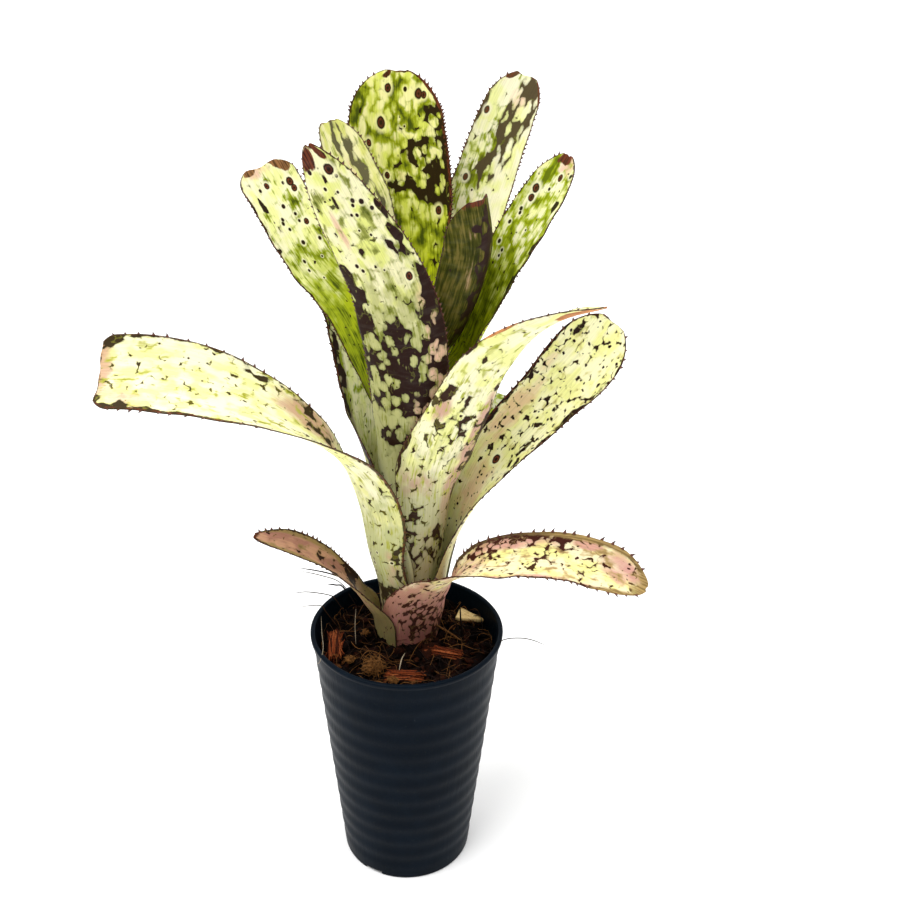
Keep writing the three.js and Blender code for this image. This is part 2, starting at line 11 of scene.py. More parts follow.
import bmesh
import bpy
import numpy as np
from mathutils import Matrix
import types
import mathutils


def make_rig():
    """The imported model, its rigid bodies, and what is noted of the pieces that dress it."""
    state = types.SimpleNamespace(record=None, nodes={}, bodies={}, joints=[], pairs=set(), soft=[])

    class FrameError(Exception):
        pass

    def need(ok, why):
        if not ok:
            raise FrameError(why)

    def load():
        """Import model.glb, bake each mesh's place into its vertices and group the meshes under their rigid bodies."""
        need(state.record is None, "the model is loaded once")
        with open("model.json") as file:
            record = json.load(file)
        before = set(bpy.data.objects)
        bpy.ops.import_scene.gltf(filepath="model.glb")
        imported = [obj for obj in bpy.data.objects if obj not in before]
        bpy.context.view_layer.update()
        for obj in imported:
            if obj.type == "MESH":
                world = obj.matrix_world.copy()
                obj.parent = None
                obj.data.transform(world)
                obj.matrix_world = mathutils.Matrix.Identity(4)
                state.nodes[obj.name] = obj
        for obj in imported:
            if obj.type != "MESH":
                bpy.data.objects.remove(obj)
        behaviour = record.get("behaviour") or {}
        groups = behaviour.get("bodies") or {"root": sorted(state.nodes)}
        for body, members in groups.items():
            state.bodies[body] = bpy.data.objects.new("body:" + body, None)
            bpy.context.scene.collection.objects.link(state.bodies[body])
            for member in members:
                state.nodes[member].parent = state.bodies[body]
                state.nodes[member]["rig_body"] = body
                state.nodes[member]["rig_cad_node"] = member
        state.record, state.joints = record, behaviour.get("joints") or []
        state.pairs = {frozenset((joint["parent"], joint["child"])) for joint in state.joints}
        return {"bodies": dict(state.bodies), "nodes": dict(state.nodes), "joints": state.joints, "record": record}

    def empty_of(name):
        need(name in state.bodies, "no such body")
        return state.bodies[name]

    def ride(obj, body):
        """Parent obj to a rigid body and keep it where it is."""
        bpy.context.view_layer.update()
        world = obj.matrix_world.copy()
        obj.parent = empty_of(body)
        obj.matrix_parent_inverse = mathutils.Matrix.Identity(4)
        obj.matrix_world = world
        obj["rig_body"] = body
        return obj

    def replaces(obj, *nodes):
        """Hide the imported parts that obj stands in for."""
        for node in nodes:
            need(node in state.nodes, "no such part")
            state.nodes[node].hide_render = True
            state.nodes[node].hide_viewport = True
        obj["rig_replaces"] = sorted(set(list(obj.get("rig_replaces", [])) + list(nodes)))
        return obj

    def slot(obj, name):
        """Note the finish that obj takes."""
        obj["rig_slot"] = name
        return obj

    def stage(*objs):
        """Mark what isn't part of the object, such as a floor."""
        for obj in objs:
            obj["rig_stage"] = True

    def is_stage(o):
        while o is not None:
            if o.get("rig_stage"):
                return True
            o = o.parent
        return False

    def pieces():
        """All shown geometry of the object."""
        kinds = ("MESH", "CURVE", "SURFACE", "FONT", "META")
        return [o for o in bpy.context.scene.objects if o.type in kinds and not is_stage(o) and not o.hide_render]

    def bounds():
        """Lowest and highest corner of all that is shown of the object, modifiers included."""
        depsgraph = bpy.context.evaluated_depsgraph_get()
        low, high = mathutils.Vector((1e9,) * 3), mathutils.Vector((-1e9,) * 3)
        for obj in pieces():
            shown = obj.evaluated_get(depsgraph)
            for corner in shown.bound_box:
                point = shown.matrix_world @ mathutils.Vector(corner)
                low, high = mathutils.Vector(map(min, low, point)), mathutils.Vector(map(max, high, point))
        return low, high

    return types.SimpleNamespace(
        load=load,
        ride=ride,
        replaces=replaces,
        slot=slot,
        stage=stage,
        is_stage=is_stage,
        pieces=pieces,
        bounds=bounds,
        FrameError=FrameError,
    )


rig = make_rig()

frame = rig.load()
CAD_LOW, CAD_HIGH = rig.bounds()

bl_info = {
    "name": "Potted billbergia",
    "version": (1, 0, 0),
    "blender": (4, 5, 0),
    "location": "3D View > Sidebar > Billbergia",
    "description": "Builds the leaves, spines, bark mix and pot of a spotted billbergia",
    "category": "Object",
}

MM = 0.001
UV_PER_MM = 0.01

# Pot, as the model has it
POT_HEIGHT = 149.0
POT_RIM_RADIUS = 52.5
POT_BASE_RADIUS = 36.5
POT_WALL = 1.2
POT_FLOOR = 2.0
POT_LIP = 0.8
POT_LIP_HEIGHT = 3.0
RIPPLE_COUNT = 12
RIPPLE_DEPTH = 0.7
RIPPLE_LOOK_DEPTH = 0.36
RIPPLE_START = 8.0
RIPPLE_END = 141.0
DRAIN_COUNT = 3
DRAIN_WIDTH = 11.0
DRAIN_HEIGHT = 2.2
DRAIN_REACH = 7.0
DRAIN_PROUD = 3.0
POT_ANGLES = 144
POT_ROW_STEP = 1.2
# Roundings at the foot and at the floor: mm in from the wall, and mm up
FOOT_ROUNDING = ((1.2, 0.0), (0.45, 0.12), (0.08, 0.5))
FLOOR_ROUNDING = ((0.4, 0.4), (1.5, 0.0))
LIP_ROUNDING = 0.9

# Bark mix
SOIL_LEVEL = 136.5
SOIL_RELIEF = 1.4
MOUND_HEIGHT = 3.0
MOUND_REACH = 30.0
SEAT_GAP = 0.35
BED_DEPTH = 128.0
BED_SINK = 0.6
BED_ROWS = 46
BED_ANGLES = 144
BED_MIDDLE = 0.02

# The plant's axis leans a little to the right: it passes through AXIS_X at the height AXIS_FROM
AXIS_X = 0.5
AXIS_Y = 14.0
AXIS_LEAN = 0.03
AXIS_FROM = 140.0

# Sheaths lie on nested cones: radius at SHEATH_LEVEL grows by SHEATH_STEP from leaf to leaf
SHEATH_INNER = 3.0
SHEATH_STEP = 1.5
SHEATH_TAPER = 0.0072
SHEATH_LEVEL = 168.0
SHEATH_FOOT = 131.35
FIRST_HIGH_LEAF = 6
STEM_STEP = 6.0
LEAST_NECK = 4.0
THROAT_LENGTH = 20.0
THROAT_STATION = 2

LEAF_THICKNESS = 0.7
MARGIN_THINNING = 0.4
LEAF_COLUMNS = 31
COLUMN_CROWDING = 0.35
LEAF_ROW_STEP = 1.6
TIP_ROWS = 14
RUFFLE_HEIGHT = 0.45
RUFFLE_LENGTH = 17.0
# Lengths in mm over which the ruffle grows above the throat, and the sheath's tint, partly painted shade, fades round
# it
RUFFLE_RISE = 25.0
TINT_AND_SHADE_ABOVE = 12.0
TINT_AND_SHADE_FADE = 45.0
# A margin's dark border is full this much sooner than its ruffle, and wears out this steeply at the tip
BORDER_RISE = 1.4
TIP_WEAR = 1.2
RAGGED_SEED = 300
RUFFLE_SEED = 500
SPINE_SEED = 700

# Each leaf: azimuth of its sheath and height of its throat, the length over which the tip rounds off and the
# share of the width left at the end, the spacing of its spines, stations [x, y, z, width, cup radius, roll in
# degrees], and the half angles in degrees that the sheath wraps at its foot and at its throat
Leaf = namedtuple("Leaf", "name azimuth throat tip end spacing stations wraps", defaults=((85, 64),))
LEAVES = [
    Leaf("leaf_01_furled", azimuth=300, throat=285, tip=14, end=0.4, spacing=4.5, wraps=(85, 85), stations=[
        [26, 3, 321, 42, 14, 0], [33, -3, 343, 46, 15.5, 0], [37, -5, 363, 46, 15.5, 0],
        [34, -6, 388, 36, 13, 0],
    ]),
    Leaf("leaf_02_upper_right", azimuth=15, throat=270, tip=16, end=0.25, spacing=4.2, stations=[
        [30, 7.5, 306, 32, 22, 20], [42, 10, 336, 32, 25, 30], [53, 13, 362, 30, 26, 36],
        [66, 15, 386, 25, 26, 40], [75, 17, 403, 18, 26, 40],
    ]),
    Leaf("leaf_03_upper_back_left", azimuth=125, throat=260, tip=14, end=0.4, spacing=4.5, stations=[
        [-6, 19.5, 305, 24, 20, -4], [-13, 23, 347, 26, 24, -6], [-21, 27, 378, 30, 28, -10],
        [-32, 32, 398, 31, 30, -10], [-38.5, 36, 413, 27, 28, -10],
    ]),
    Leaf("leaf_04_tallest", azimuth=100, throat=270, tip=22, end=0.25, spacing=3.2, stations=[
        [1, 29, 312, 30, 23, 0], [2, 36, 343, 34, 28, -5], [-1, 44, 374, 46, 37, -12],
        [-7, 53, 406, 49, 42, -16], [-7, 61, 433, 40, 40, -16],
    ]),
    Leaf("leaf_05_upper_back_right", azimuth=60, throat=265, tip=16, end=0.4, spacing=3.8, stations=[
        [21.5, 33.5, 326, 27, 28, 12], [30, 44.5, 359, 32, 28, 20], [40, 53.5, 391, 30, 29, 28],
        [47.5, 59, 412, 28, 30, 30], [57, 64.5, 431, 23, 27, 30],
    ]),
    Leaf("leaf_06_upper_left", azimuth=150, throat=235, tip=10, end=0.5, spacing=4.5, stations=[
        [-13, 23, 269, 33, 21, 0], [-19, 32, 298, 33, 26, -20], [-30, 42, 318, 32, 28, -25],
        [-49, 53, 338, 33, 30, -25], [-65, 64, 361, 33, 31, -25], [-78.5, 73, 382, 33, 30, -25],
    ]),
    Leaf("leaf_07_upper_front", azimuth=255, throat=250, tip=24, end=0.2, spacing=4.5, stations=[
        [0, -15, 294, 42, 30, 0], [-2, -24, 331, 42, 34, 8], [-13, -33, 366, 37, 33, 18],
        [-25, -39, 390, 30, 30, 26], [-39, -45, 420, 14, 24, 30],
    ]),
    Leaf("leaf_08_front_arch", azimuth=305, throat=215, tip=16, end=0.3, spacing=5.0, stations=[
        [16, -14, 254, 42, 23, -10], [26, -22, 286, 32, 21, -25], [38, -27, 313, 26, 18, -30],
        [56, -28, 330, 23, 18, -20], [74, -28, 340, 18, 15, -10], [92, -25, 344, 12, 12, -10],
    ]),
    Leaf("leaf_09_back_left", azimuth=185, throat=215, tip=16, end=0.3, spacing=5.0, stations=[
        [-21, 20, 245, 36, 23, 0], [-24, 32, 265, 34, 25, -10], [-26, 44, 284, 33, 27, -15],
        [-31, 56, 303, 31, 29, -15], [-42, 68, 326, 24, 24, -15],
    ]),
    Leaf("leaf_10_left_arch", azimuth=215, throat=165, tip=8, end=0.75, spacing=6.5, stations=[
        [-18, 2, 194, 40, 19, 0], [-19, -7, 223, 40, 21, 0], [-27, -16, 252, 38, 23, -5],
        [-48, -22, 277, 37, 28, -20], [-72, -24, 292, 38, 36, -32], [-97, -23, 301, 40, 41, -42],
        [-120, -22, 305, 40, 44, -45], [-145, -20, 305, 38, 45, -45],
    ]),
    Leaf("leaf_11_right_broad", azimuth=15, throat=180, tip=18, end=0.35, spacing=5.6, stations=[
        [33, 15, 221, 35, 19, 20], [50, 18, 251, 33, 20, 45], [74, 22, 279, 36, 25, 55],
        [91, 25, 300, 38, 33, 60], [103, 27, 318, 32, 31, 60],
    ]),
    Leaf("leaf_12_low_back", azimuth=65, throat=175, tip=16, end=0.3, spacing=5.0, wraps=(64, 64), stations=[
        [18, 42, 205, 40, 25, 0], [28, 52, 228, 38, 29, 0], [40, 65, 242, 36, 30, 0],
        [50, 78, 248, 30, 27, 0], [59, 92, 246, 20, 20, 0],
    ]),
    Leaf("leaf_13_low_right", azimuth=285, throat=152, tip=20, end=0.2, spacing=5, wraps=(64, 64), stations=[
        [14, -9, 174, 38, 19, 0], [30, -17, 195, 30, 17, 20], [54, -22, 207, 26, 19, 40],
        [78, -25, 210, 26, 22, 40], [101, -28, 206, 26, 22, 40], [123, -30, 196, 18, 16, 30],
    ]),
    Leaf("leaf_14_low_left", azimuth=200, throat=148, tip=20, end=0.2, spacing=3.2, wraps=(50, 50), stations=[
        [-23, 4, 162, 28, 17, 0], [-31, 0, 178, 18, 12, -15], [-44, -5, 194, 18, 12, -25],
        [-60, -9, 206, 16, 12, -30], [-78, -12, 213, 9, 8, -30],
    ]),
]

# Tones of the leaves and spines
CREAM = (0.86, 0.82, 0.56)
LEMON = (0.78, 0.79, 0.33)
LIME = (0.26, 0.32, 0.012)
MOSS = (0.060, 0.080, 0.003)
YELLOW_LIME = (0.46, 0.52, 0.030)
MAROON = (0.020, 0.0065, 0.0045)
RUST = (0.15, 0.036, 0.014)
OLIVE_DASH = (0.080, 0.075, 0.016)
# The sheath's tone: partly its own paler tone, partly painted shade of the tube under the leaves
SHEATH_TONE_AND_SHADE = (0.47, 0.47, 0.27)
BLUSH = (0.74, 0.47, 0.34)
SCURF_SILVER = (0.50, 0.50, 0.42)
SPINE_BASE = (0.12, 0.035, 0.018)
SPINE_TIP = (0.012, 0.005, 0.004)
SPINE_GRAIN = (0.24, 0.075, 0.03)

# Tones of the pot, the mix, the chips, the stem and the floor
PLASTIC = (0.0020, 0.0046, 0.0086)
SCUFF = (0.16, 0.17, 0.18)
BARK = (0.0030, 0.0011, 0.0008)
RED_BARK = (0.032, 0.0080, 0.0035)
TAN_BARK = (0.14, 0.052, 0.016)
FIBRE_DARK = (0.010, 0.005, 0.004)
FIBRE_TAN = (0.20, 0.085, 0.022)
FIBRE_STRAW = (0.44, 0.36, 0.25)
HUSK_DARK = (0.024, 0.005, 0.002)
HUSK_RED = (0.17, 0.034, 0.010)
HUSK_PALE = (0.46, 0.14, 0.045)
WOOD_DEEP = (0.62, 0.42, 0.17)
WOOD_PALE = (0.80, 0.63, 0.33)
WOOD_DUST = (0.26, 0.11, 0.035)
STEM_DARK = (0.20, 0.13, 0.06)
STEM_TAN = (0.45, 0.36, 0.18)
FLOOR_TONE = (0.94, 0.94, 0.94)
FLOOR_SHADE = (0.92, 0.93, 0.94)

# What marks each leaf. Greens and dashes are amounts at the tip, half way and at the throat. A patch is
# (mm from the tip, across from -1 to 1, half length in mm, half width across, strength), and so are a
# blush, a burn that has dried brown, a cloud that adds green and a bare place that has none. An eye is
# (mm from the tip, across, radius in mm). Margins are border widths in mm at -1 and +1, and dry is the dried
# tip's length in mm. Spines is a share of the usual length, and close a share of the leaf's own spacing.
# A sheath is the tone laid over the sheath and the blade's foot, partly their own tone and partly painted shade.
USUAL_LOOK = dict(
    patches=(), blushes=(), burns=(), clouds=(), bare=(), eyes=(), spines=0.9, close=1.0, streaky=0.20,
    oval=1.0, long=1.0, fade=(0.45, 0.9), soft_dry=0.0, low=YELLOW_LIME, blush_tone=BLUSH,
    dash_tone=OLIVE_DASH, sheath=SHEATH_TONE_AND_SHADE,
)
LOOKS = {
    "leaf_01_furled": dict(
        greens=(0.8, 0.9, 1.0), dashes=(0, 0, 0), specks=0.10, streaky=0.55, spines=0.4,
        pale=(0.155, 0.125, 0.026), lime=(0.062, 0.062, 0.006), moss=(0.024, 0.028, 0.002),
        low=(0.080, 0.092, 0.006), dark=(0.030, 0.013, 0.012), blush_tone=(0.44, 0.29, 0.16),
        blushes=[(24, -0.38, 15, 0.10, 0.9), (40, -0.35, 12, 0.08, 0.7)], burns=[(0, -0.2, 3, 0.5, 1.0)],
        margins=(0.4, 0.9), dry=0.5,
        patches=[(12, -0.05, 12, 0.24, 0.85), (34, -0.02, 20, 0.22, 0.92), (58, -0.05, 22, 0.25, 0.9)],
    ),
    "leaf_02_upper_right": dict(
        greens=(0.50, 0.95, 0.30), dashes=(0.1, 0.22, 0.34), specks=0.24, streaky=0.26, spines=0.7,
        low=(0.60, 0.68, 0.014), dark=(0.026, 0.020, 0.005), fade=(0.25, 0.6), close=0.65,
        lime=(0.32, 0.39, 0.008), moss=(0.115, 0.150, 0.002), clouds=[(11, 0.38, 6, 0.3, 0.8)],
        blushes=[(4, -0.3, 7, 0.7, 0.8)], burns=[(1, 0.1, 5, 0.7, 1.0)], margins=(0.6, 0.5), dry=1.0,
        patches=[
            (22, -0.72, 3, 0.16, 1.1), (43, -0.97, 5, 0.22, 1.1), (58, -0.90, 9, 0.25, 0.8),
            (74, -0.80, 14, 0.32, 0.84),
        ],
        eyes=[
            (11, -0.20, 1.2), (21, 0.55, 1.7), (26, 0.50, 1.4), (18, 0.03, 0.7), (8, -0.82, 0.9),
            (33, 0.60, 0.9), (35, 0.55, 0.8), (41, 0.70, 0.7), (51, 0.70, 0.8), (54, 0.48, 0.7),
            (40, 0.0, 0.5), (57, 0.5, 0.6),
        ],
    ),
    "leaf_03_upper_back_left": dict(
        greens=(0.1, 0.55, 0.8), dashes=(0.1, 0.1, 0.1), specks=0.05, streaky=0.40, spines=0.6, close=0.65,
        pale=(0.84, 0.80, 0.42), second=(0.70, 0.70, 0.20), lime=(0.38, 0.42, 0.07), moss=(0.16, 0.17, 0.035),
        dark=(0.125, 0.112, 0.052), long=2.0, low=(0.62, 0.66, 0.08), blushes=[(27, -0.15, 10, 0.15, 0.6)],
        margins=(0.6, 0.6), dry=0.4,
        patches=[(8, -0.25, 12, 0.45, 0.78), (20, -0.50, 16, 0.40, 0.70), (38, -0.5, 16, 0.3, 0.34)],
    ),
    "leaf_04_tallest": dict(
        greens=(0.35, 0.80, 0.45), dashes=(0.1, 0.2, 0.1), specks=0.08, spines=0.8, close=0.65,
        pale=(0.86, 0.82, 0.36), second=(0.68, 0.72, 0.12), lime=(0.30, 0.35, 0.008), low=(0.58, 0.65, 0.012),
        dark=(0.024, 0.014, 0.002), fade=(0.25, 0.6), blushes=[(46, -0.2, 12, 0.5, 0.4)], margins=(1.6, 0.7),
        dry=0.5,
        clouds=[(5, 0.0, 6, 0.25, 0.9), (21, -0.25, 6, 0.4, 0.6), (17, 0.86, 8, 0.16, 0.9)],
        patches=[
            (46, -0.99, 32, 0.16, 1.2), (57, -0.66, 14, 0.32, 0.92), (40, -0.45, 11, 0.42, 0.74),
            (52, -0.08, 9, 0.38, 0.66), (22, -0.78, 6, 0.22, 0.7), (84, -0.75, 12, 0.3, 0.5),
        ],
        burns=[(7, -1.0, 9, 0.12, 1.1), (14, -1.0, 6, 0.10, 1.0), (2, 0.45, 3, 0.25, 0.8)],
        eyes=[
            (9, 0.23, 1.6), (11, -0.57, 1.9), (11.5, -0.70, 1.3), (25, 0.30, 1.9), (33, 0.58, 1.3),
            (49, 0.33, 1.2), (69, -0.68, 1.5), (9, -0.25, 0.9), (27, -0.17, 0.5),
        ],
    ),
    "leaf_05_upper_back_right": dict(
        greens=(0.10, 0.66, 0.9), dashes=(0.1, 0.2, 0.1), specks=0.06, spines=0.7, streaky=0.30,
        low=(0.52, 0.58, 0.045), dark=(0.082, 0.060, 0.026), long=1.9, fade=(0.35, 0.8),
        moss=(0.095, 0.105, 0.008), close=0.65, bare=[(58, -0.62, 34, 0.42, 1.2), (24, 0.75, 14, 0.3, 1.0)],
        clouds=[(40, 0.45, 16, 0.4, 0.6)], blushes=[(12, -0.2, 10, 0.5, 0.6), (36, -0.1, 12, 0.3, 0.4)],
        burns=[(3, 0.8, 4, 0.25, 0.9), (4, -1.0, 9, 0.12, 1.0)],
        eyes=[(23, 0.75, 1.4), (56, 0.62, 1.3), (61, 0.30, 0.5)], margins=(0.4, 0.6), dry=0.3,
        patches=[
            (5, -0.50, 14, 0.60, 0.90), (20, -0.42, 14, 0.70, 0.82), (35, -0.20, 14, 0.55, 0.82),
            (48, 0.10, 12, 0.40, 0.80), (25, 0.97, 9, 0.10, 1.2),
        ],
    ),
    "leaf_06_upper_left": dict(
        greens=(0.0, 0.80, 1.1), dashes=(0.0, 0.05, 0.05), specks=0.12, spines=0.7, streaky=0.36,
        low=(0.40, 0.46, 0.014), fade=(0.20, 0.50), dark=(0.022, 0.011, 0.004), close=0.65,
        clouds=[(23, -0.40, 5, 0.25, 0.9), (8, 0.02, 4, 0.14, 0.7)], blushes=[(2, 0.3, 4, 0.8, 0.7)],
        burns=[(0, 0.6, 4, 0.40, 1.0), (3, -0.75, 6, 0.25, 1.0)], margins=(0.45, 0.7), dry=0.5,
        dry_tone=(0.30, 0.14, 0.055),
        patches=[
            (21, 0.56, 5.5, 0.09, 1.1), (27, 0.99, 18, 0.07, 0.9), (60, 0.99, 26, 0.05, 0.8),
            (43, 0.92, 4, 0.12, 0.8),
        ],
        eyes=[
            (14, -0.62, 1.7), (18, -0.65, 1.4), (11, 0.10, 1.3), (12, 0.38, 0.9), (13, -0.42, 0.8),
            (24, -0.05, 1.0), (30, 0.20, 0.9), (32, 0.25, 1.0), (36, 0.15, 0.8), (30, -0.27, 0.8),
            (34, -0.27, 0.7), (36, -0.45, 1.3), (45, -0.02, 1.0), (47, -0.55, 0.9), (54, 0.30, 0.8),
            (59, 0.35, 0.7), (66, 0.1, 0.5), (56, -0.3, 0.5),
        ],
    ),
    "leaf_07_upper_front": dict(
        greens=(0.0, 0.46, 0.2), dashes=(0.16, 0.34, 0.2), specks=0.16, spines=0.65, close=0.65,
        low=(0.48, 0.48, 0.20), fade=(0.30, 0.55), oval=1.35, lime=(0.25, 0.27, 0.050),
        pale=(0.86, 0.82, 0.50), second=(0.72, 0.75, 0.22),
        clouds=[(22, 0.60, 5, 0.12, 0.9), (37, 0.5, 5, 0.15, 0.8)],
        burns=[(6, -0.55, 6, 0.6, 1.0), (4, 0.55, 5, 0.35, 0.9)], margins=(0.5, 0.6), dry=1.5,
        patches=[
            (72, -0.88, 14, 0.18, 1.15), (84, -0.76, 12, 0.24, 1.08), (98, -0.66, 11, 0.26, 0.82),
            (98, 0.88, 34, 0.17, 0.90), (112, 0.60, 24, 0.36, 0.86), (52, 0.84, 5, 0.12, 1.0),
            (62, 0.80, 5, 0.10, 0.95), (72, 0.86, 5, 0.10, 0.95), (101, -0.22, 13, 0.42, 0.78),
            (122, -0.05, 20, 0.85, 0.86), (142, 0.1, 15, 0.9, 0.74), (160, 0.2, 18, 0.9, 0.64),
            (40, 0.93, 12, 0.07, 0.8), (100, -0.97, 40, 0.08, 1.0), (55, -0.15, 3.2, 0.10, 1.2),
            (29, -0.12, 4.0, 0.06, 1.1), (23, -0.42, 3.6, 0.07, 1.1), (16, -0.05, 3, 0.08, 1.0),
            (57, 0.52, 5, 0.13, 0.8),
        ],
        blushes=[(110, 0.75, 34, 0.25, 1.0), (42, -0.4, 12, 0.10, 0.9), (150, 0.5, 20, 0.4, 0.9)],
        eyes=[
            (13, 0.35, 1.8), (12, -0.62, 1.0), (17, 0.43, 0.7), (21, -0.20, 0.7), (24, 0.15, 0.6),
            (30, 0.40, 0.9), (32, 0.60, 1.0), (32, 0.33, 0.7), (36, 0.15, 0.7), (37, 0.28, 0.7),
            (37, 0.73, 0.9), (73, 0.60, 1.5), (61, -0.45, 0.9), (64, -0.35, 0.8), (44, 0.1, 0.5),
            (66, 0.15, 0.5), (48, 0.3, 0.5),
        ],
    ),
    "leaf_08_front_arch": dict(
        greens=(0.0, 0.25, 0.25), dashes=(0.16, 0.50, 0.46), specks=0.05, spines=0.6, pale=(0.92, 0.88, 0.58),
        second=(0.84, 0.84, 0.34), low=(0.60, 0.58, 0.34), fade=(0.6, 0.9), dark=(0.036, 0.016, 0.009),
        lime=(0.42, 0.44, 0.060), dash_tone=(0.085, 0.070, 0.020),
        burns=[(10, -0.35, 14, 0.60, 1.2), (45, -1.0, 9, 0.12, 1.0)], blush_tone=(0.56, 0.31, 0.25),
        margins=(0.5, 0.4), dry=2.0, dry_tone=(0.62, 0.27, 0.10), scorch=(0.24, 0.075, 0.030),
        patches=[
            (84, -0.62, 7, 0.18, 0.84), (88, -0.74, 6, 0.10, 0.9), (61, -0.97, 8, 0.10, 0.8),
            (124, -0.95, 24, 0.06, 0.9), (166, -0.5, 18, 0.3, 0.52), (130, 0.80, 38, 0.22, 0.72),
            (96, 0.9, 30, 0.12, 0.70), (100, 0.1, 20, 0.6, 0.52), (184, -0.2, 14, 0.8, 0.60),
        ],
        blushes=[
            (122, 0.80, 44, 0.28, 1.3), (140, -0.5, 12, 0.5, 0.6), (92, -0.60, 9, 0.3, 0.9),
            (156, 0.62, 34, 0.42, 1.1), (188, 0.0, 16, 0.8, 0.9),
        ],
    ),
    "leaf_09_back_left": dict(
        greens=(0.5, 0.4, 0.1), dashes=(0.3, 0.3, 0.1), specks=0.10, low=(0.56, 0.53, 0.24),
        blushes=[(70, 0.8, 40, 0.3, 0.9)], blush_tone=(0.24, 0.16, 0.15), margins=(0.8, 1.2), dry=4.0,
        patches=[(60, 0.85, 34, 0.20, 0.95), (100, 0.9, 30, 0.16, 0.9), (90, -0.9, 40, 0.14, 0.9)],
    ),
    "leaf_10_left_arch": dict(
        greens=(0.0, 0.12, 0.20), dashes=(0.36, 0.38, 0.38), specks=0.14, pale=(0.92, 0.88, 0.58),
        second=(0.84, 0.82, 0.34), low=(0.56, 0.57, 0.26), fade=(0.55, 0.82), lime=(0.44, 0.44, 0.055),
        blush_tone=(0.60, 0.36, 0.23), margins=(0.7, 1.5), dry=0.4, dry_tone=(0.58, 0.34, 0.18),
        dark=(0.045, 0.030, 0.012), dash_tone=(0.125, 0.105, 0.012),
        patches=[
            (4, -1.0, 14, 0.22, 1.1), (24, -1.0, 14, 0.06, 0.9), (4, 1.0, 14, 0.28, 1.1),
            (28, 1.0, 26, 0.13, 1.0), (215, -0.30, 3.2, 0.13, 1.2), (71, -0.80, 7, 0.08, 1.0),
            (49, -0.95, 5, 0.08, 0.9), (88, -0.90, 5, 0.05, 1.0), (104, -0.80, 12, 0.2, 0.62),
            (112, -0.6, 12, 0.3, 0.56), (228, 0.1, 13, 0.8, 0.76), (205, 0.9, 26, 0.25, 0.6),
        ],
        blushes=[
            (0, -0.2, 7, 1.0, 0.9), (14, 0.6, 16, 0.30, 0.6), (106, -0.62, 24, 0.42, 0.95),
            (30, 0.85, 20, 0.2, 0.5), (212, 0.7, 26, 0.4, 0.6), (236, 0.0, 14, 1.0, 1.2),
        ],
        eyes=[
            (194, -0.25, 0.7), (199, -0.1, 0.8), (203, 0.07, 0.8), (193, 0.25, 0.6), (210, -0.02, 0.8),
            (198, 0.68, 0.9),
        ],
    ),
    "leaf_11_right_broad": dict(
        greens=(0.0, 0.06, 0.10), dashes=(0.52, 0.52, 0.12), specks=1.0, pale=(0.96, 0.92, 0.58),
        second=(0.88, 0.86, 0.36), low=(0.80, 0.72, 0.32), fade=(0.7, 1.0), lime=(0.62, 0.56, 0.20),
        blush_tone=(0.80, 0.56, 0.32), eyes=[(94, -0.05, 1.9)], margins=(0.6, 0.9), dry=0.2,
        dash_tone=(0.034, 0.020, 0.010), dark=(0.020, 0.008, 0.006),
        patches=[
            (34, 0.99, 42, 0.06, 1.1), (84, 0.97, 34, 0.09, 1.1), (52, -0.96, 34, 0.07, 0.8),
            (10, 0.8, 8, 0.2, 0.56), (84, -0.64, 13, 0.07, 0.8), (18, -0.99, 10, 0.06, 1.0),
            (52, -0.92, 6, 0.10, 0.9),
        ],
        blushes=[
            (70, 0.55, 26, 0.36, 0.85), (114, 0.1, 22, 0.6, 0.75), (20, 0.6, 12, 0.2, 0.3),
            (40, 0.7, 14, 0.2, 0.5), (132, -0.4, 20, 0.5, 0.6),
        ],
    ),
    "leaf_12_low_back": dict(
        greens=(0.6, 0.7, 0.5), dashes=(0.5, 0.5, 0.3), specks=0.15, pale=(0.50, 0.50, 0.34),
        low=(0.42, 0.40, 0.22), patches=[(60, 0.0, 40, 0.8, 0.4)], margins=(0.8, 0.8), dry=2.0,
    ),
    "leaf_13_low_right": dict(
        greens=(0.3, 0.1, 0.0), dashes=(0.46, 0.44, 0.50), specks=0.9, pale=(0.86, 0.76, 0.48),
        second=(0.84, 0.80, 0.30), low=(0.54, 0.29, 0.19), fade=(0.62, 0.85), spines=1.2,
        lime=(0.44, 0.30, 0.12), moss=(0.16, 0.10, 0.040), edge=(0.085, 0.058, 0.020), oval=0.7,
        burns=[(30, 1.0, 34, 0.24, 0.95), (16, -1.0, 16, 0.26, 0.95)], blush_tone=(0.60, 0.29, 0.25),
        margins=(0.7, 2.2), dry=7.0, dry_tone=(0.40, 0.27, 0.10), scorch=(0.17, 0.11, 0.036), soft_dry=0.6,
        # Its sheath tone, pink here, is partly painted shade too
        sheath=(0.30, 0.092, 0.080), dark=(0.050, 0.012, 0.007), dash_tone=(0.050, 0.022, 0.008),
        patches=[
            (86, 0.66, 20, 0.34, 0.72), (60, 0.76, 26, 0.22, 0.74), (46, 0.5, 16, 0.2, 0.55),
            (24, -0.97, 18, 0.10, 1.0), (158, 0.75, 14, 0.5, 0.8), (172, 0.0, 9, 1.2, 0.85),
            (142, 0.0, 20, 0.7, 0.66), (66, -0.1, 30, 0.5, 0.34),
        ],
        blushes=[
            (76, 0.72, 30, 0.34, 0.85), (35, 0.66, 8, 0.18, 1.2), (98, 0.3, 16, 0.9, 0.6),
            (62, -0.95, 50, 0.18, 0.6), (14, 0.2, 16, 0.8, 0.75), (128, 0.75, 16, 0.5, 1.1),
            (146, -0.2, 30, 0.9, 0.60),
        ],
    ),
    "leaf_14_low_left": dict(
        greens=(0.0, 0.2, 0.3), dashes=(0.2, 0.3, 0.3), specks=0.06, pale=(0.56, 0.31, 0.20),
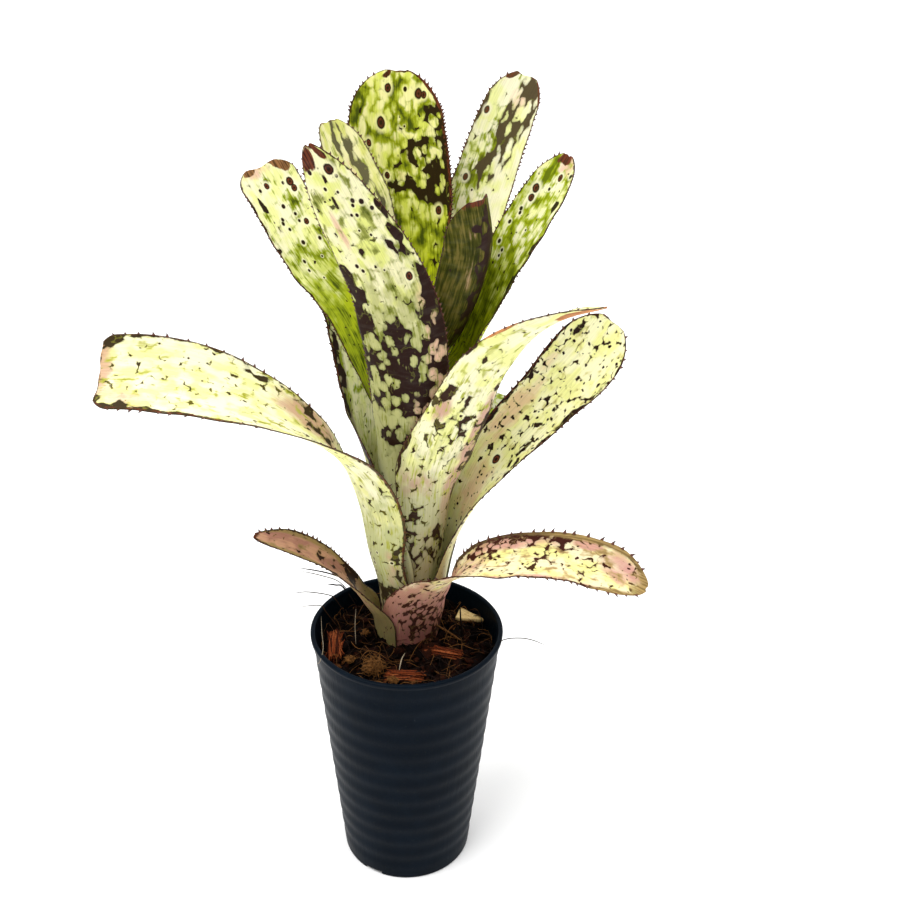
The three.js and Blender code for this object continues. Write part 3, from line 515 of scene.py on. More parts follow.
        second=(0.40, 0.19, 0.14), low=(0.34, 0.24, 0.10), fade=(0.6, 1.0), oval=0.8,
        lime=(0.30, 0.20, 0.085), moss=(0.17, 0.10, 0.05), edge=(0.090, 0.058, 0.022),
        patches=[(62, -0.95, 8, 0.8, 1.4), (40, 0.0, 60, 0.8, 0.34)],
        blushes=[(40, 0.9, 60, 0.35, 1.1), (40, -0.95, 60, 0.3, 1.0)], blush_tone=(0.32, 0.23, 0.085),
        margins=(0.9, 0.7), dry=2.0, dark=(0.028, 0.012, 0.008), spines=0.8, dash_tone=(0.10, 0.05, 0.03),
        # Its sheath tone is partly painted shade too
        sheath=(0.19, 0.17, 0.060),
    ),
}

# Loose chips: place, size, turn and tip in degrees, as the model has them
CHIPS = {
    "husk_chip_1": ([-39, -6, 139.5], [8, 22, 6], 4, 10),
    "husk_chip_2": ([0, -31, 139.5], [21, 8, 5], -4, 6),
    "husk_chip_3": ([20.5, -11, 140], [21, 8, 5], -16, -8),
}
WOOD_CHIP = ([32.3, 23.2, 139.5], [18, 12, 3.4], 140, 12)

# Loose fibres that a viewer notices: points [x, y, z], thickness, and tone from 0, black, to 1, pale straw
STRAY_FIBRES = [
    ([[-22, 36, 139], [-32, 40, 150], [-43.5, 42, 154.7], [-52.4, 41, 157.9], [-62.5, 40, 160.3]], 0.9, 0.1),
    ([[-30, 37, 140], [-40, 40, 151], [-50, 39, 156], [-61.8, 38, 159.6]], 0.6, 0.25),
    ([[-30, 34, 139], [-37.9, 36, 150.5], [-41.7, 35, 152.4], [-46.7, 34, 153.7]], 1.0, 0.0),
    (
        [[-34, 22, 139], [-40.8, 23.4, 150], [-44.7, 24, 152.9], [-56.3, 23, 155.4], [-64, 22, 155.2]],
        0.65, 0.2,
    ),
    (
        [[-38, 11, 139], [-45.4, 12.9, 149], [-47.7, 14, 152.2], [-53.1, 13, 153.1], [-59.6, 12, 152.7]],
        0.55, 0.3,
    ),
    (
        [[-48.9, 19, 146], [-46, -5, 148.5], [-43.5, -22, 150], [-44.5, -29.5, 147], [-46.5, -27, 143.5]],
        0.3, 1.0,
    ),
    ([[-28.9, 14.8, 150], [-28.5, 2.3, 148], [-27.6, -5.6, 141]], 0.35, 1.0),
    ([[30.9, 3.3, 139], [29.5, 3, 150.5], [28.7, 2, 162.3]], 1.0, 0.05),
    ([[12.5, 3.3, 150], [20.8, 1.7, 146], [30.2, -1.3, 141]], 1.2, 0.6),
    ([[-0.4, -17.1, 144], [-2, -23, 144], [-3.1, -28.9, 141]], 0.6, 1.0),
    (
        [[44, -8, 140], [52, -12.4, 150], [60.4, -14, 152.6], [67.3, -15, 152.2], [74.3, -16, 149.8]],
        0.55, 0.2,
    ),
]

# Tan fluffy lumps of pith: [x, y, z] and half sizes along X and Y
PITH = [
    ([-16.9, -27.6, 142.5], [7, 4.5]), ([-29.6, -20.5, 141.8], [3, 2.4]), ([-23.3, 4.3, 141.8], [2.6, 2.2]),
    ([-5.9, -37.1, 141.5], [3, 2.3]),
]
# Short curled fibres in a lump of pith, for each mm of its half length
PITH_FIBRES = 22


def length_field(name, description, default):
    """A length property; default in millimetres."""
    return bpy.props.FloatProperty(
        name=name, description=description, default=default * MM, min=0.0, subtype="DISTANCE", unit="LENGTH",
    )


def share_field(name, description, default):
    """A property for a share from 0 to 1."""
    return bpy.props.FloatProperty(
        name=name, description=description, default=default, min=0.0, max=1.0, subtype="FACTOR",
    )


def colour_field(name, description, default):
    """A colour property."""
    return bpy.props.FloatVectorProperty(
        name=name, description=description, default=default, size=3, min=0.0, max=1.0, subtype="COLOR",
    )


class BillbergiaLeafSettings(bpy.types.PropertyGroup):
    """Sizes and colours of the leaves."""

    thickness: length_field("Thickness", "Thickness of a leaf along its middle", LEAF_THICKNESS)
    ruffle: length_field("Ruffle", "Height of the small waves along a leaf's margins", RUFFLE_HEIGHT)
    spine_length: length_field("Spine length", "Length of the marginal spines", 1.9)
    cream: colour_field("Cream", "Palest tone of a leaf", CREAM)
    lemon: colour_field("Lemon", "Second pale tone of a leaf", LEMON)
    lime: colour_field("Lime", "Bright green of the blotches", LIME)
    moss: colour_field("Moss", "Deep green of the blotches", MOSS)
    maroon: colour_field("Maroon", "Dark tone of patches, specks and margins", MAROON)
    rust: colour_field("Rust", "Brown of dried tips and of the rings round the eyes", RUST)


class BillbergiaPotSettings(bpy.types.PropertyGroup):
    """Sizes and colours of the pot."""

    ripple: length_field("Ripple depth", "Depth of the ripples round the wall", RIPPLE_LOOK_DEPTH)
    plastic: colour_field("Plastic", "Colour of the pot", PLASTIC)
    roughness: share_field("Roughness", "Roughness of the pot's outside", 0.38)


class BillbergiaMixSettings(bpy.types.PropertyGroup):
    """Amounts and colours of the bark mix."""

    lumps: bpy.props.IntProperty(
        name="Lumps", description="Number of bark lumps on top of the mix", default=560, min=0, max=900,
    )
    fibres: bpy.props.IntProperty(
        name="Fibres", description="Number of fine fibres on top of the mix", default=380, min=0, max=600,
    )
    bark: colour_field("Bark", "Dark tone of the bark", BARK)
    red_bark: colour_field("Red bark", "Reddish tone of the bark", RED_BARK)
    tan_bark: colour_field("Tan bark", "Light tone of the bark", TAN_BARK)


class BillbergiaStageSettings(bpy.types.PropertyGroup):
    """Floor and light."""

    floor_tone: colour_field("Floor", "Colour of the floor", FLOOR_TONE)
    sky: bpy.props.FloatProperty(
        name="Sky", description="Strength of the light from all round", default=1.05, min=0.0,
    )
    front_share: share_field("Front share", "Share of the sky's light from the viewer's side", 0.18)
    key: bpy.props.FloatProperty(
        name="Key", description="Strength of the soft sun above the front left", default=2.3, min=0.0,
    )


class Wires:
    """Wires the nodes of one tree. Each call adds a node and returns its output socket."""

    def __init__(self, tree):
        self.nodes = tree.nodes
        self.links = tree.links

    def feed(self, socket, value):
        """Links value into the socket if it is a socket, and sets it there if it is a number or a colour."""
        if isinstance(value, bpy.types.NodeSocket):
            self.links.new(value, socket)
        elif socket.type == "RGBA":
            socket.default_value = (*value, 1.0)
        else:
            socket.default_value = value

    def add(self, kind, feeds, output=0, **choices):
        """A node of that kind with its choices made, and its inputs fed by their numbers or names."""
        node = self.nodes.new("ShaderNode" + kind)
        for name, choice in choices.items():
            setattr(node, name, choice)
        for socket, value in feeds.items():
            self.feed(node.inputs[socket], value)
        return node.outputs[output]

    def math(self, operation, first, second):
        """The operation's result for two numbers."""
        return self.add("Math", {0: first, 1: second}, operation=operation)

    def times(self, first, second):
        """The product of two numbers."""
        return self.math("MULTIPLY", first, second)

    def uneven(self, value, noise, amount):
        """The value with a noise added, which swings by half the amount to both sides."""
        swing = self.times(self.math("SUBTRACT", noise, 0.5), amount)
        return self.math("ADD", value, swing)

    def vector(self, operation, first, second):
        """The operation's result for two vectors: a vector, or a number for a distance."""
        output = "Value" if operation == "DISTANCE" else "Vector"
        return self.add("VectorMath", {0: first, 1: second}, output, operation=operation)

    def scaled(self, where, *factors):
        """A place with its X, Y and Z multiplied by three factors."""
        return self.vector("MULTIPLY", where, factors)

    def step(self, value, low, high, start=0.0, end=1.0):
        """Goes smoothly from start to end while value goes from low to high."""
        feeds = dict(enumerate((value, low, high, start, end)))
        return self.add("MapRange", feeds, interpolation_type="SMOOTHSTEP")

    def mix(self, factor, first, second, blend="MIX"):
        """The first colour, with the second laid over it by the factor."""
        return self.add("Mix", {0: factor, 6: first, 7: second}, 2, data_type="RGBA", blend_type=blend)

    def cover(self, colour, tone, value, low, high, start=0.0, end=1.0):
        """The colour, with a tone laid over it by the step that value makes between low and high."""
        return self.mix(self.step(value, low, high, start, end), colour, tone)

    def noise(self, where, scale=1.0, detail=2.0, roughness=0.5, output="Fac"):
        """Soft random numbers round 0.5 at the scaled place, or colours with the output Color."""
        feeds = {"Vector": where, "Scale": scale, "Detail": detail, "Roughness": roughness}
        return self.add("TexNoise", feeds, output)

    def cells(self, where):
        """The distance to the nearest of randomly placed points, and a random colour for each point."""
        distance = self.add("TexVoronoi", {"Vector": where, "Scale": 1.0}, "Distance")
        return distance, distance.node.outputs["Color"]


class Paint(Wires):
    """Wires the nodes of one new material."""

    def __init__(self, name):
        self.material = bpy.data.materials.new(name)
        self.material.use_nodes = True
        super().__init__(self.material.node_tree)
        self.nodes.clear()

    def attribute(self, name):
        """The numbers that set_attribute wrote by that name."""
        return self.add("Attribute", {}, "Fac", attribute_name=name)

    def blade_place(self):
        """The place on the blade from its own UV map: (mm across from the middle, mm along, 0)."""
        return self.scaled(self.add("UVMap", {}, uv_map="blade"), 1 / UV_PER_MM, 1 / UV_PER_MM, 1.0)

    def object_place(self):
        """The place on the piece in millimetres."""
        return self.scaled(self.add("TexCoord", {}, "Object"), 1 / MM, 1 / MM, 1 / MM)

    def bump(self, height, distance, strength, below=None):
        """The surface's direction where height lifts it by up to that many mm, over a bump below."""
        feeds = {"Strength": strength, "Distance": distance * MM, "Height": height}
        if below is not None:
            feeds["Normal"] = below
        return self.add("Bump", feeds, "Normal")

    def surface(self, colour, roughness, normal=None, **constants):
        """The final shader. Constants are socket names with underscores for spaces, and their numbers."""
        feeds = {"Base Color": colour, "Roughness": roughness}
        if normal is not None:
            feeds["Normal"] = normal
        for name, number in constants.items():
            feeds[name.replace("_", " ")] = number
        output = self.nodes.new("ShaderNodeOutputMaterial")
        self.links.new(self.add("BsdfPrincipled", feeds), output.inputs["Surface"])
        return self.material


def unit(vectors):
    """Vectors scaled to a length of one."""
    return vectors / np.linalg.norm(vectors, axis=-1, keepdims=True)


def around(radius, height, angles):
    """Points at that radius and height round the pot's axis, one for each angle."""
    return np.stack([radius * np.cos(angles), radius * np.sin(angles), height + 0 * angles], -1)


def waves(x, y, seed, count=7, low=0.6, high=1.8):
    """Gentle unevenness between about -1 and 1: a mean of sine waves in seeded directions."""
    draw = np.random.default_rng(seed)
    turns = draw.uniform(0, np.pi, count)
    rates = draw.uniform(low, high, count)
    phases = draw.uniform(0, 2 * np.pi, count)
    total = 0 * x
    for turn, rate, phase in zip(turns, rates, phases):
        total = total + np.sin(rate * (x * np.cos(turn) + y * np.sin(turn)) + phase)
    return total / math.sqrt(count)


def between(points, slopes, span, u, step=1.0):
    """Cubics from each span's first point to its next one, as u goes from 0 to 1 over one step's length."""
    start = (2 * u**3 - 3 * u**2 + 1) * points[span] + (u**3 - 2 * u**2 + u) * step * slopes[span]
    end = (3 * u**2 - 2 * u**3) * points[span + 1] + (u**3 - u**2) * step * slopes[span + 1]
    return start + end


def tube_wall(rings, sides):
    """Quads of a tube whose rings are numbered one after the other, with each ring closed."""
    ring = np.arange(rings - 1)[:, None] * sides
    here = np.arange(sides)[None, :]
    after = (here + 1) % sides
    quads = np.stack([ring + here, ring + after, ring + sides + after, ring + sides + here], -1)
    return quads.reshape(-1, 4)


def tube_faces(rings, sides):
    """Quads of a tube with an even number of sides, each end closed by a ladder of quads across it."""
    here = np.arange(sides // 2 - 1)
    first = np.stack([here, sides - 1 - here, sides - 2 - here, here + 1], 1)
    last = first[:, ::-1] + (rings - 1) * sides
    return np.concatenate([tube_wall(rings, sides), first, last])


def sheet_faces(rows, columns):
    """Quads of a closed sheet: two grids of points and the four rims between them.

    The points are numbered row by row, and those of the second grid, which faces the other way, come after
    those of the first.
    """
    count = rows * columns
    index = np.arange(count).reshape(rows, columns)
    corner = index[:-1, :-1].ravel()
    grid = np.stack([corner, corner + columns, corner + columns + 1, corner + 1], 1)
    faces = [grid, grid[:, ::-1] + count]
    for line in (index[::-1, 0], index[:, -1], index[0, :], index[-1, ::-1]):
        faces.append(np.stack([line[:-1], line[1:], line[1:] + count, line[:-1] + count], 1))
    return np.concatenate(faces)


def copied_faces(faces, copies, size, first=0):
    """The same quads for each copy of a shape, whose points follow one another in blocks of that size."""
    offsets = first + np.arange(copies) * size
    return (faces[None] + offsets[:, None, None]).reshape(-1, 4)


def new_object(name, data):
    """A new object in the scene that shows that mesh, light or camera."""
    made = bpy.data.objects.new(name, data)
    bpy.context.scene.collection.objects.link(made)
    return made


def make_mesh(name, points, faces, materials, slots=None, smooth=True):
    """A new object at the origin from points in mm and quads; slots gives each face's material."""
    mesh = bpy.data.meshes.new(name)
    mesh.vertices.add(len(points))
    mesh.vertices.foreach_set("co", (np.asarray(points) * MM).astype(np.float32).ravel())
    mesh.loops.add(len(faces) * 4)
    mesh.loops.foreach_set("vertex_index", np.asarray(faces).astype(np.int32).ravel())
    mesh.polygons.add(len(faces))
    mesh.polygons.foreach_set("loop_start", np.arange(len(faces), dtype=np.int32) * 4)
    mesh.polygons.foreach_set("use_smooth", np.full(len(faces), smooth))
    for material in materials:
        mesh.materials.append(material)
    if slots is not None:
        mesh.polygons.foreach_set("material_index", np.asarray(slots).astype(np.int32))
    mesh.update(calc_edges=True)
    mesh.validate()
    return new_object(name, mesh)


def set_attribute(piece, name, values):
    """Writes one number for each point, which the materials read by name."""
    layer = piece.data.attributes.new(name, "FLOAT", "POINT")
    layer.data.foreach_set("value", np.asarray(values).astype(np.float32).ravel())


def set_uv(piece, name, coordinates):
    """Writes a UV map from one pair for each point."""
    layer = piece.data.uv_layers.new(name=name)
    corners = np.empty(len(piece.data.loops), np.int32)
    piece.data.loops.foreach_get("vertex_index", corners)
    layer.data.foreach_set("uv", np.asarray(coordinates)[corners].astype(np.float32).ravel())


def settle(piece, slot_name, *nodes):
    """The piece rides on the one body, takes its finish from that slot and stands for those nodes."""
    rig.ride(piece, "root")
    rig.slot(piece, slot_name)
    if nodes:
        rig.replaces(piece, *nodes)


def axis_x(height):
    """Where the plant's axis is at that height: it leans by AXIS_LEAN mm for each mm."""
    return AXIS_X + AXIS_LEAN * (height - AXIS_FROM)


def sheath_radius(order, height):
    """Radius of a leaf's sheath cone: the inner radius plus a step for each leaf, widening upward."""
    return (SHEATH_INNER + SHEATH_STEP * order) * (1 + SHEATH_TAPER * (height - SHEATH_LEVEL))


def all_stations(leaf, order):
    """The stations of the sheath, at its foot, neck and throat, followed by those of the blade."""
    foot = SHEATH_FOOT + max(0, FIRST_HIGH_LEAF - order) * STEM_STEP
    neck = max(foot + LEAST_NECK, leaf.throat - THROAT_LENGTH)
    angle = math.radians(leaf.azimuth)
    wrap_low, wrap_high = leaf.wraps
    rows = []
    for height, wrap in ((foot, wrap_low), (neck, wrap_low), (leaf.throat, wrap_high)):
        radius = sheath_radius(order, height)
        x = axis_x(height) + radius * math.cos(angle)
        y = AXIS_Y + radius * math.sin(angle)
        rows.append([x, y, height, 2 * math.radians(wrap) * radius, radius, 0])
    return np.array(rows + leaf.stations, float)


def curve_through(stations):
    """A smooth curve through the stations, measured by the chords between them.

    Each slope is the mean of the two neighbouring chords' slopes, weighted by the opposite chord. At the
    throat it is the chord before, so the sheath stays on its cone. Between stations it is a cubic.
    """
    chord = np.linalg.norm(np.diff(stations[:, :3], axis=0), axis=1)
    knots = np.concatenate([[0], np.cumsum(chord)])
    rise = np.diff(stations, axis=0) / chord[:, None]
    slopes = np.empty_like(stations)
    slopes[0], slopes[-1] = rise[0], rise[-1]
    weights = (chord[1:] + chord[:-1])[:, None]
    slopes[1:-1] = (chord[1:, None] * rise[:-1] + chord[:-1, None] * rise[1:]) / weights
    slopes[THROAT_STATION] = rise[THROAT_STATION - 1]

    def at(length):
        """The station at that length from the curve's foot."""
        span = np.clip(np.searchsorted(knots, length) - 1, 0, len(knots) - 2)
        u = ((length - knots[span]) / chord[span])[..., None]
        return between(stations, slopes, span, u, chord[span][..., None])

    return at, knots


class Blade:
    """The course of one leaf, from its sheath's foot to its tip, and what marks it."""

    def __init__(self, leaf, order):
        self.leaf = leaf
        self.order = order
        self.look = {**USUAL_LOOK, **LOOKS[leaf.name]}
        self.at, knots = curve_through(all_stations(leaf, order))
        self.total = knots[-1]
        self.throat = knots[THROAT_STATION]

    def surface(self, along, across):
        """Place and directions on the blade, for arrays of lengths in mm and of shares across from -1 to 1.

        A section is an arc of the cup radius, in the plane square to the curve, centred on the inner side
        and turned by the roll. Its width shrinks over the tip as a circle's does. Returns the place, the
        direction across, the inner normal and half the arc in mm.
        """
        half_step = 0.5
        values = self.at(along)
        ahead = self.at(np.minimum(self.total, along + half_step))[..., :3]
        behind = self.at(np.maximum(0, along - half_step))[..., :3]
        forward = unit(ahead - behind)
        away_x = values[..., 0] - axis_x(values[..., 2])
        away_y = values[..., 1] - AXIS_Y
        side = unit(np.stack([-away_y, away_x, 0 * along], -1))
        side = unit(side - forward * (side * forward).sum(-1, keepdims=True))
        roll = np.radians(values[..., 5])[..., None]
        side = side * np.cos(roll) + np.cross(forward, side) * np.sin(roll)
        inward = np.cross(forward, side)
        reach = np.clip((along - (self.total - self.leaf.tip)) / self.leaf.tip, 0, 1)
        share = np.sqrt(1 - (1 - self.leaf.end**2) * reach**2)
        radius = values[..., 4]
        half_arc = values[..., 3] * share / 2
        turn = (across * half_arc / radius)[..., None]
        wide = radius[..., None]
        place = values[..., :3] + inward * wide * (1 - np.cos(turn)) + side * wide * np.sin(turn)
        edge = side * np.cos(turn) + inward * np.sin(turn)
        normal = inward * np.cos(turn) - side * np.sin(turn)
        return place, edge, normal, half_arc


# How steeply a patch falls off, how deep in mm a burn is dried, and the strength at which its edge lies
PATCH_FALL = 0.7
BURN_DEPTH = 14.0
BURN_EDGE = 0.6


def soft_patch(from_tip, across, patch):
    """How far a place lies inside a patch: its strength in the middle, falling off smoothly as an oval."""
    middle, side, half_length, half_width, strength = patch
    away = ((from_tip - middle) / half_length) ** 2 + ((across - side) / half_width) ** 2
    return strength * np.exp(-PATCH_FALL * away**1.5)


def leaf_skin(blade, settings):
    """Points, faces, fields and blade map of a leaf's skin: the inner and the outer face, closed all round.

    The middle surface is the blade's. Half the thickness is laid off on both sides, and it thins toward the
    margins. The margins wave a little above the throat, and the tip is a little ragged.
    """
    leaf, look, total, throat = blade.leaf, blade.look, blade.total, blade.throat
    tip_start = total - leaf.tip
    body = np.linspace(0, tip_start, int(tip_start / LEAF_ROW_STEP), endpoint=False)
    tip = tip_start + leaf.tip * np.sin(np.linspace(0, np.pi / 2, TIP_ROWS))
    length = np.concatenate([body, tip])[:, None] + np.zeros((1, LEAF_COLUMNS))
    # Columns lie closer together near the margins, where the dark border and the ruffle are
    share = np.linspace(-1, 1, LEAF_COLUMNS)
    share = (share + COLUMN_CROWDING * np.sin(np.pi * share) / np.pi)[None, :] + 0 * length
    tip_share = np.clip((length - tip_start) / leaf.tip, 0, 1)
    ragged = 0.5 * (1 + waves(share * 5.0, 0 * share, RAGGED_SEED + blade.order)) * (0.5 + leaf.end)
    length = length - np.clip(ragged, 0, 2.0) * tip_share**3
    place, _, normal, half_arc = blade.surface(length, share)
    above = np.clip((length - throat) / RUFFLE_RISE, 0, 1)
    phase = length / RUFFLE_LENGTH * 2 * np.pi
    wave = waves(phase, np.sign(share) * 9.0, RUFFLE_SEED + blade.order, 4, 0.5, 1.2)
    lift = settings.ruffle / MM * wave * np.abs(share) ** 3 * above
    place = place + normal * lift[..., None] - normal * LEAF_THICKNESS / 2
    half = settings.thickness / MM / 2 * (1 - MARGIN_THINNING * np.abs(share) ** 8)
    upper = place + normal * half[..., None]
    lower = place - normal * half[..., None]
    from_tip = total - length
    down = from_tip / max(1.0, total - throat)

    def spread(kind):
        """The strongest of the leaf's soft patches of that kind."""
        return np.max([soft_patch(from_tip, share, one) for one in look[kind]] + [0 * length], axis=0)

    def along_blade(kind):
        """An amount that is given at the tip, half way and at the throat."""
        return np.interp(down, [0.0, 0.5, 1.0], look[kind])

    low_margin, high_margin = look["margins"]
    fields = {
        "patch": spread("patches"),
        "green": along_blade("greens") + spread("clouds") - spread("bare"),
        "dash": along_blade("dashes"),
        "blush": spread("blushes"),
        "border": np.where(share < 0, low_margin, high_margin) * np.clip(above * BORDER_RISE, 0.0, 1.0),
        # The rim runs out at the tip, where the width closes in
        "rim": np.minimum((1 - np.abs(share)) * half_arc, from_tip * TIP_WEAR),
        "down": down,
        "dry": np.maximum(look["dry"] - from_tip, BURN_DEPTH * (spread("burns") - BURN_EDGE)),
        # Where the sheath's tint, partly painted shade, lies: full down the sheath and fading out above the throat
        "throat": np.clip(1 - (length - throat + TINT_AND_SHADE_ABOVE) / TINT_AND_SHADE_FADE, 0, 1),
    }
    fields = {name: np.concatenate([values.ravel()] * 2) for name, values in fields.items()}
    fields["inner"] = np.repeat([1.0, 0.0], share.size)
    blade_map = np.stack([share * half_arc, length], -1).reshape(-1, 2) * UV_PER_MM
    points = np.concatenate([upper.reshape(-1, 3), lower.reshape(-1, 3)])
    return points, sheet_faces(*share.shape), fields, np.concatenate([blade_map] * 2)


# A spine's rings: share of its length, and share of its base width
SPINE_RINGS = ((-0.15, 1.1), (0.22, 0.72), (0.6, 0.34), (1.0, 0.05))
SPINE_SIDES = 6
# Half sizes of a 1 mm spine's base along the margin and across it
SPINE_WIDE = 0.62
SPINE_THIN = 0.30
# The first spine's height above the throat, the rise over which spines grow to full size, and their least
# share of it
SPINE_START = 14.0
SPINE_RISE = 40.0
LEAST_SPINE = 0.35
# The share of the tip's length that has no spines, on a pointed and on a blunt leaf
POINTED_BARE = 0.12
BLUNT_BARE = 0.45
BLUNT_END = 0.5
MOST_SPINES = 400
# Ranges of a spine's distance from the last one, over the leaf's spacing, of its size and of its lean
SPINE_GAPS = (0.65, 1.4)
SPINE_SIZES = (0.6, 1.2)
SPINE_LEANS = (0.25, 0.75)


def leaf_spines(blade, settings):
    """Points and faces of a leaf's spines, and each point's share of the way to its tip.

    A spine stands on the margin, leans toward the leaf's tip and curves that way. Its section is an oval,
    wide along the margin and thin across it, which shrinks over four rings.
    """
    draw = np.random.default_rng(SPINE_SEED + blade.order)
    start = blade.throat + SPINE_START
    end = blade.total - blade.leaf.tip * (POINTED_BARE if blade.leaf.end < BLUNT_END else BLUNT_BARE)
    one = tube_faces(len(SPINE_RINGS), SPINE_SIDES)
    one_size = len(SPINE_RINGS) * SPINE_SIDES
    one_shares = np.repeat([max(0.0, share) for share, _ in SPINE_RINGS], SPINE_SIDES)
    points, faces, total = [], [], 0
    for margin in (-1.0, 1.0):
        steps = blade.look["close"] * blade.leaf.spacing * draw.uniform(*SPINE_GAPS, MOST_SPINES)
        where = start + np.cumsum(steps)
        where = where[where < end]
        count = len(where)
        place, edge, normal, _ = blade.surface(where, margin + 0 * where)
        place = place - normal * LEAF_THICKNESS / 2
        # Near the tip the margin turns in, so the spines follow the outline and not the middle line
        ahead = blade.surface(np.minimum(blade.total, where + 0.6), margin + 0 * where)[0]
        behind = blade.surface(where - 0.6, margin + 0 * where)[0]
        run = unit(ahead - behind)
        outward = edge * margin
        outward = unit(outward - run * (outward * run).sum(-1, keepdims=True))
        grown = settings.spine_length / MM * blade.look["spines"] * draw.uniform(*SPINE_SIZES, count)
        size = (grown * np.clip((where - start) / SPINE_RISE + LEAST_SPINE, LEAST_SPINE, 1))[:, None]
        lean = draw.uniform(*SPINE_LEANS, count)[:, None]
        rings = []
        for share, width in SPINE_RINGS:
            centre = place + outward * size * share + run * size * lean * share * abs(share)
            for side in range(SPINE_SIDES):
                turn = 2 * math.pi * side / SPINE_SIDES
                wide = run * (SPINE_WIDE * width * math.cos(turn))
                thin = normal * (-SPINE_THIN * margin * width * math.sin(turn))
                rings.append(centre + (wide + thin) * np.sqrt(size))
        points.append(np.stack(rings, 1).reshape(-1, 3))
        faces.append(copied_faces(one, count, one_size, total * one_size))
        total += count
    return np.concatenate(points), np.concatenate(faces), np.tile(one_shares, total)


def make_leaf(blade, settings):
    """One leaf: its skin and its spines in one object, which replaces the node of the same name."""
    name = blade.leaf.name
    points, faces, fields, blade_map = leaf_skin(blade, settings)
    spine_points, spine_faces, spine_shares = leaf_spines(blade, settings)
    piece = make_mesh(
        name.replace("leaf", "blade"), np.concatenate([points, spine_points]),
        np.concatenate([faces, spine_faces + len(points)]), [leaf_paint(blade, settings), spine_paint()],
        np.repeat([0, 1], [len(faces), len(spine_faces)]),
    )
    extra = len(spine_points)
    for field, values in fields.items():
        set_attribute(piece, field, np.concatenate([values, np.zeros(extra)]))
    set_attribute(piece, "spine", np.concatenate([np.zeros(len(points)), spine_shares]))
    set_uv(piece, "blade", np.concatenate([blade_map, np.zeros((extra, 2))]))
    settle(piece, "leaf", name)


def spine_paint():
    """Spines: reddish brown at the base and nearly black at the tip. All leaves share it."""
    name = "spine_horn"
    if name in bpy.data.materials:
        return bpy.data.materials[name]
    paint = Paint(name)
    colour = paint.cover(SPINE_BASE, SPINE_TIP, paint.attribute("spine"), 0.05, 0.6)
    grain = paint.noise(paint.object_place(), 2.0)
    colour = paint.cover(colour, SPINE_GRAIN, grain, 0.4, 0.7, 0.0, 0.25)
    return paint.surface(colour, paint.step(grain, 0.2, 0.8, 0.35, 0.6))


# Each leaf reads the patterns at a depth of its own, so that no two leaves are marked alike
PATTERN_DEPTH = 11.0
# About how many mm across and along the leaf the marks of each pattern are
COARSE_MARKS = (5.0, 11.0)
BLOTCHES = (4.4, 8.5)
STREAKS = (1.0, 14.0)
WIDE_TONES = (7.0, 15.0)
CLOUD_DROPS = (3.6, 5.4)
NET_OVALS = (3.7, 5.8)
DASH_CELLS = (2.3, 3.3)
SPECK_CELLS = (2.9, 4.2)
RAGGED_EDGE = (1.4, 2.6)
FINE_LINES = (0.42, 40.0)
SCURF_BANDS = (9.0, 2.6)
# How far in mm across and along the patterns wander
WANDER = (3.2, 5.0, 0.0)
# An eye is this much longer than it is wide, and from this radius in mm on it has a ring
EYE_STRETCH = 1.4
LEAST_RING = 1.15
# Farther from an eye than this many radii there is no mark of it
EYE_FAR = 99.0


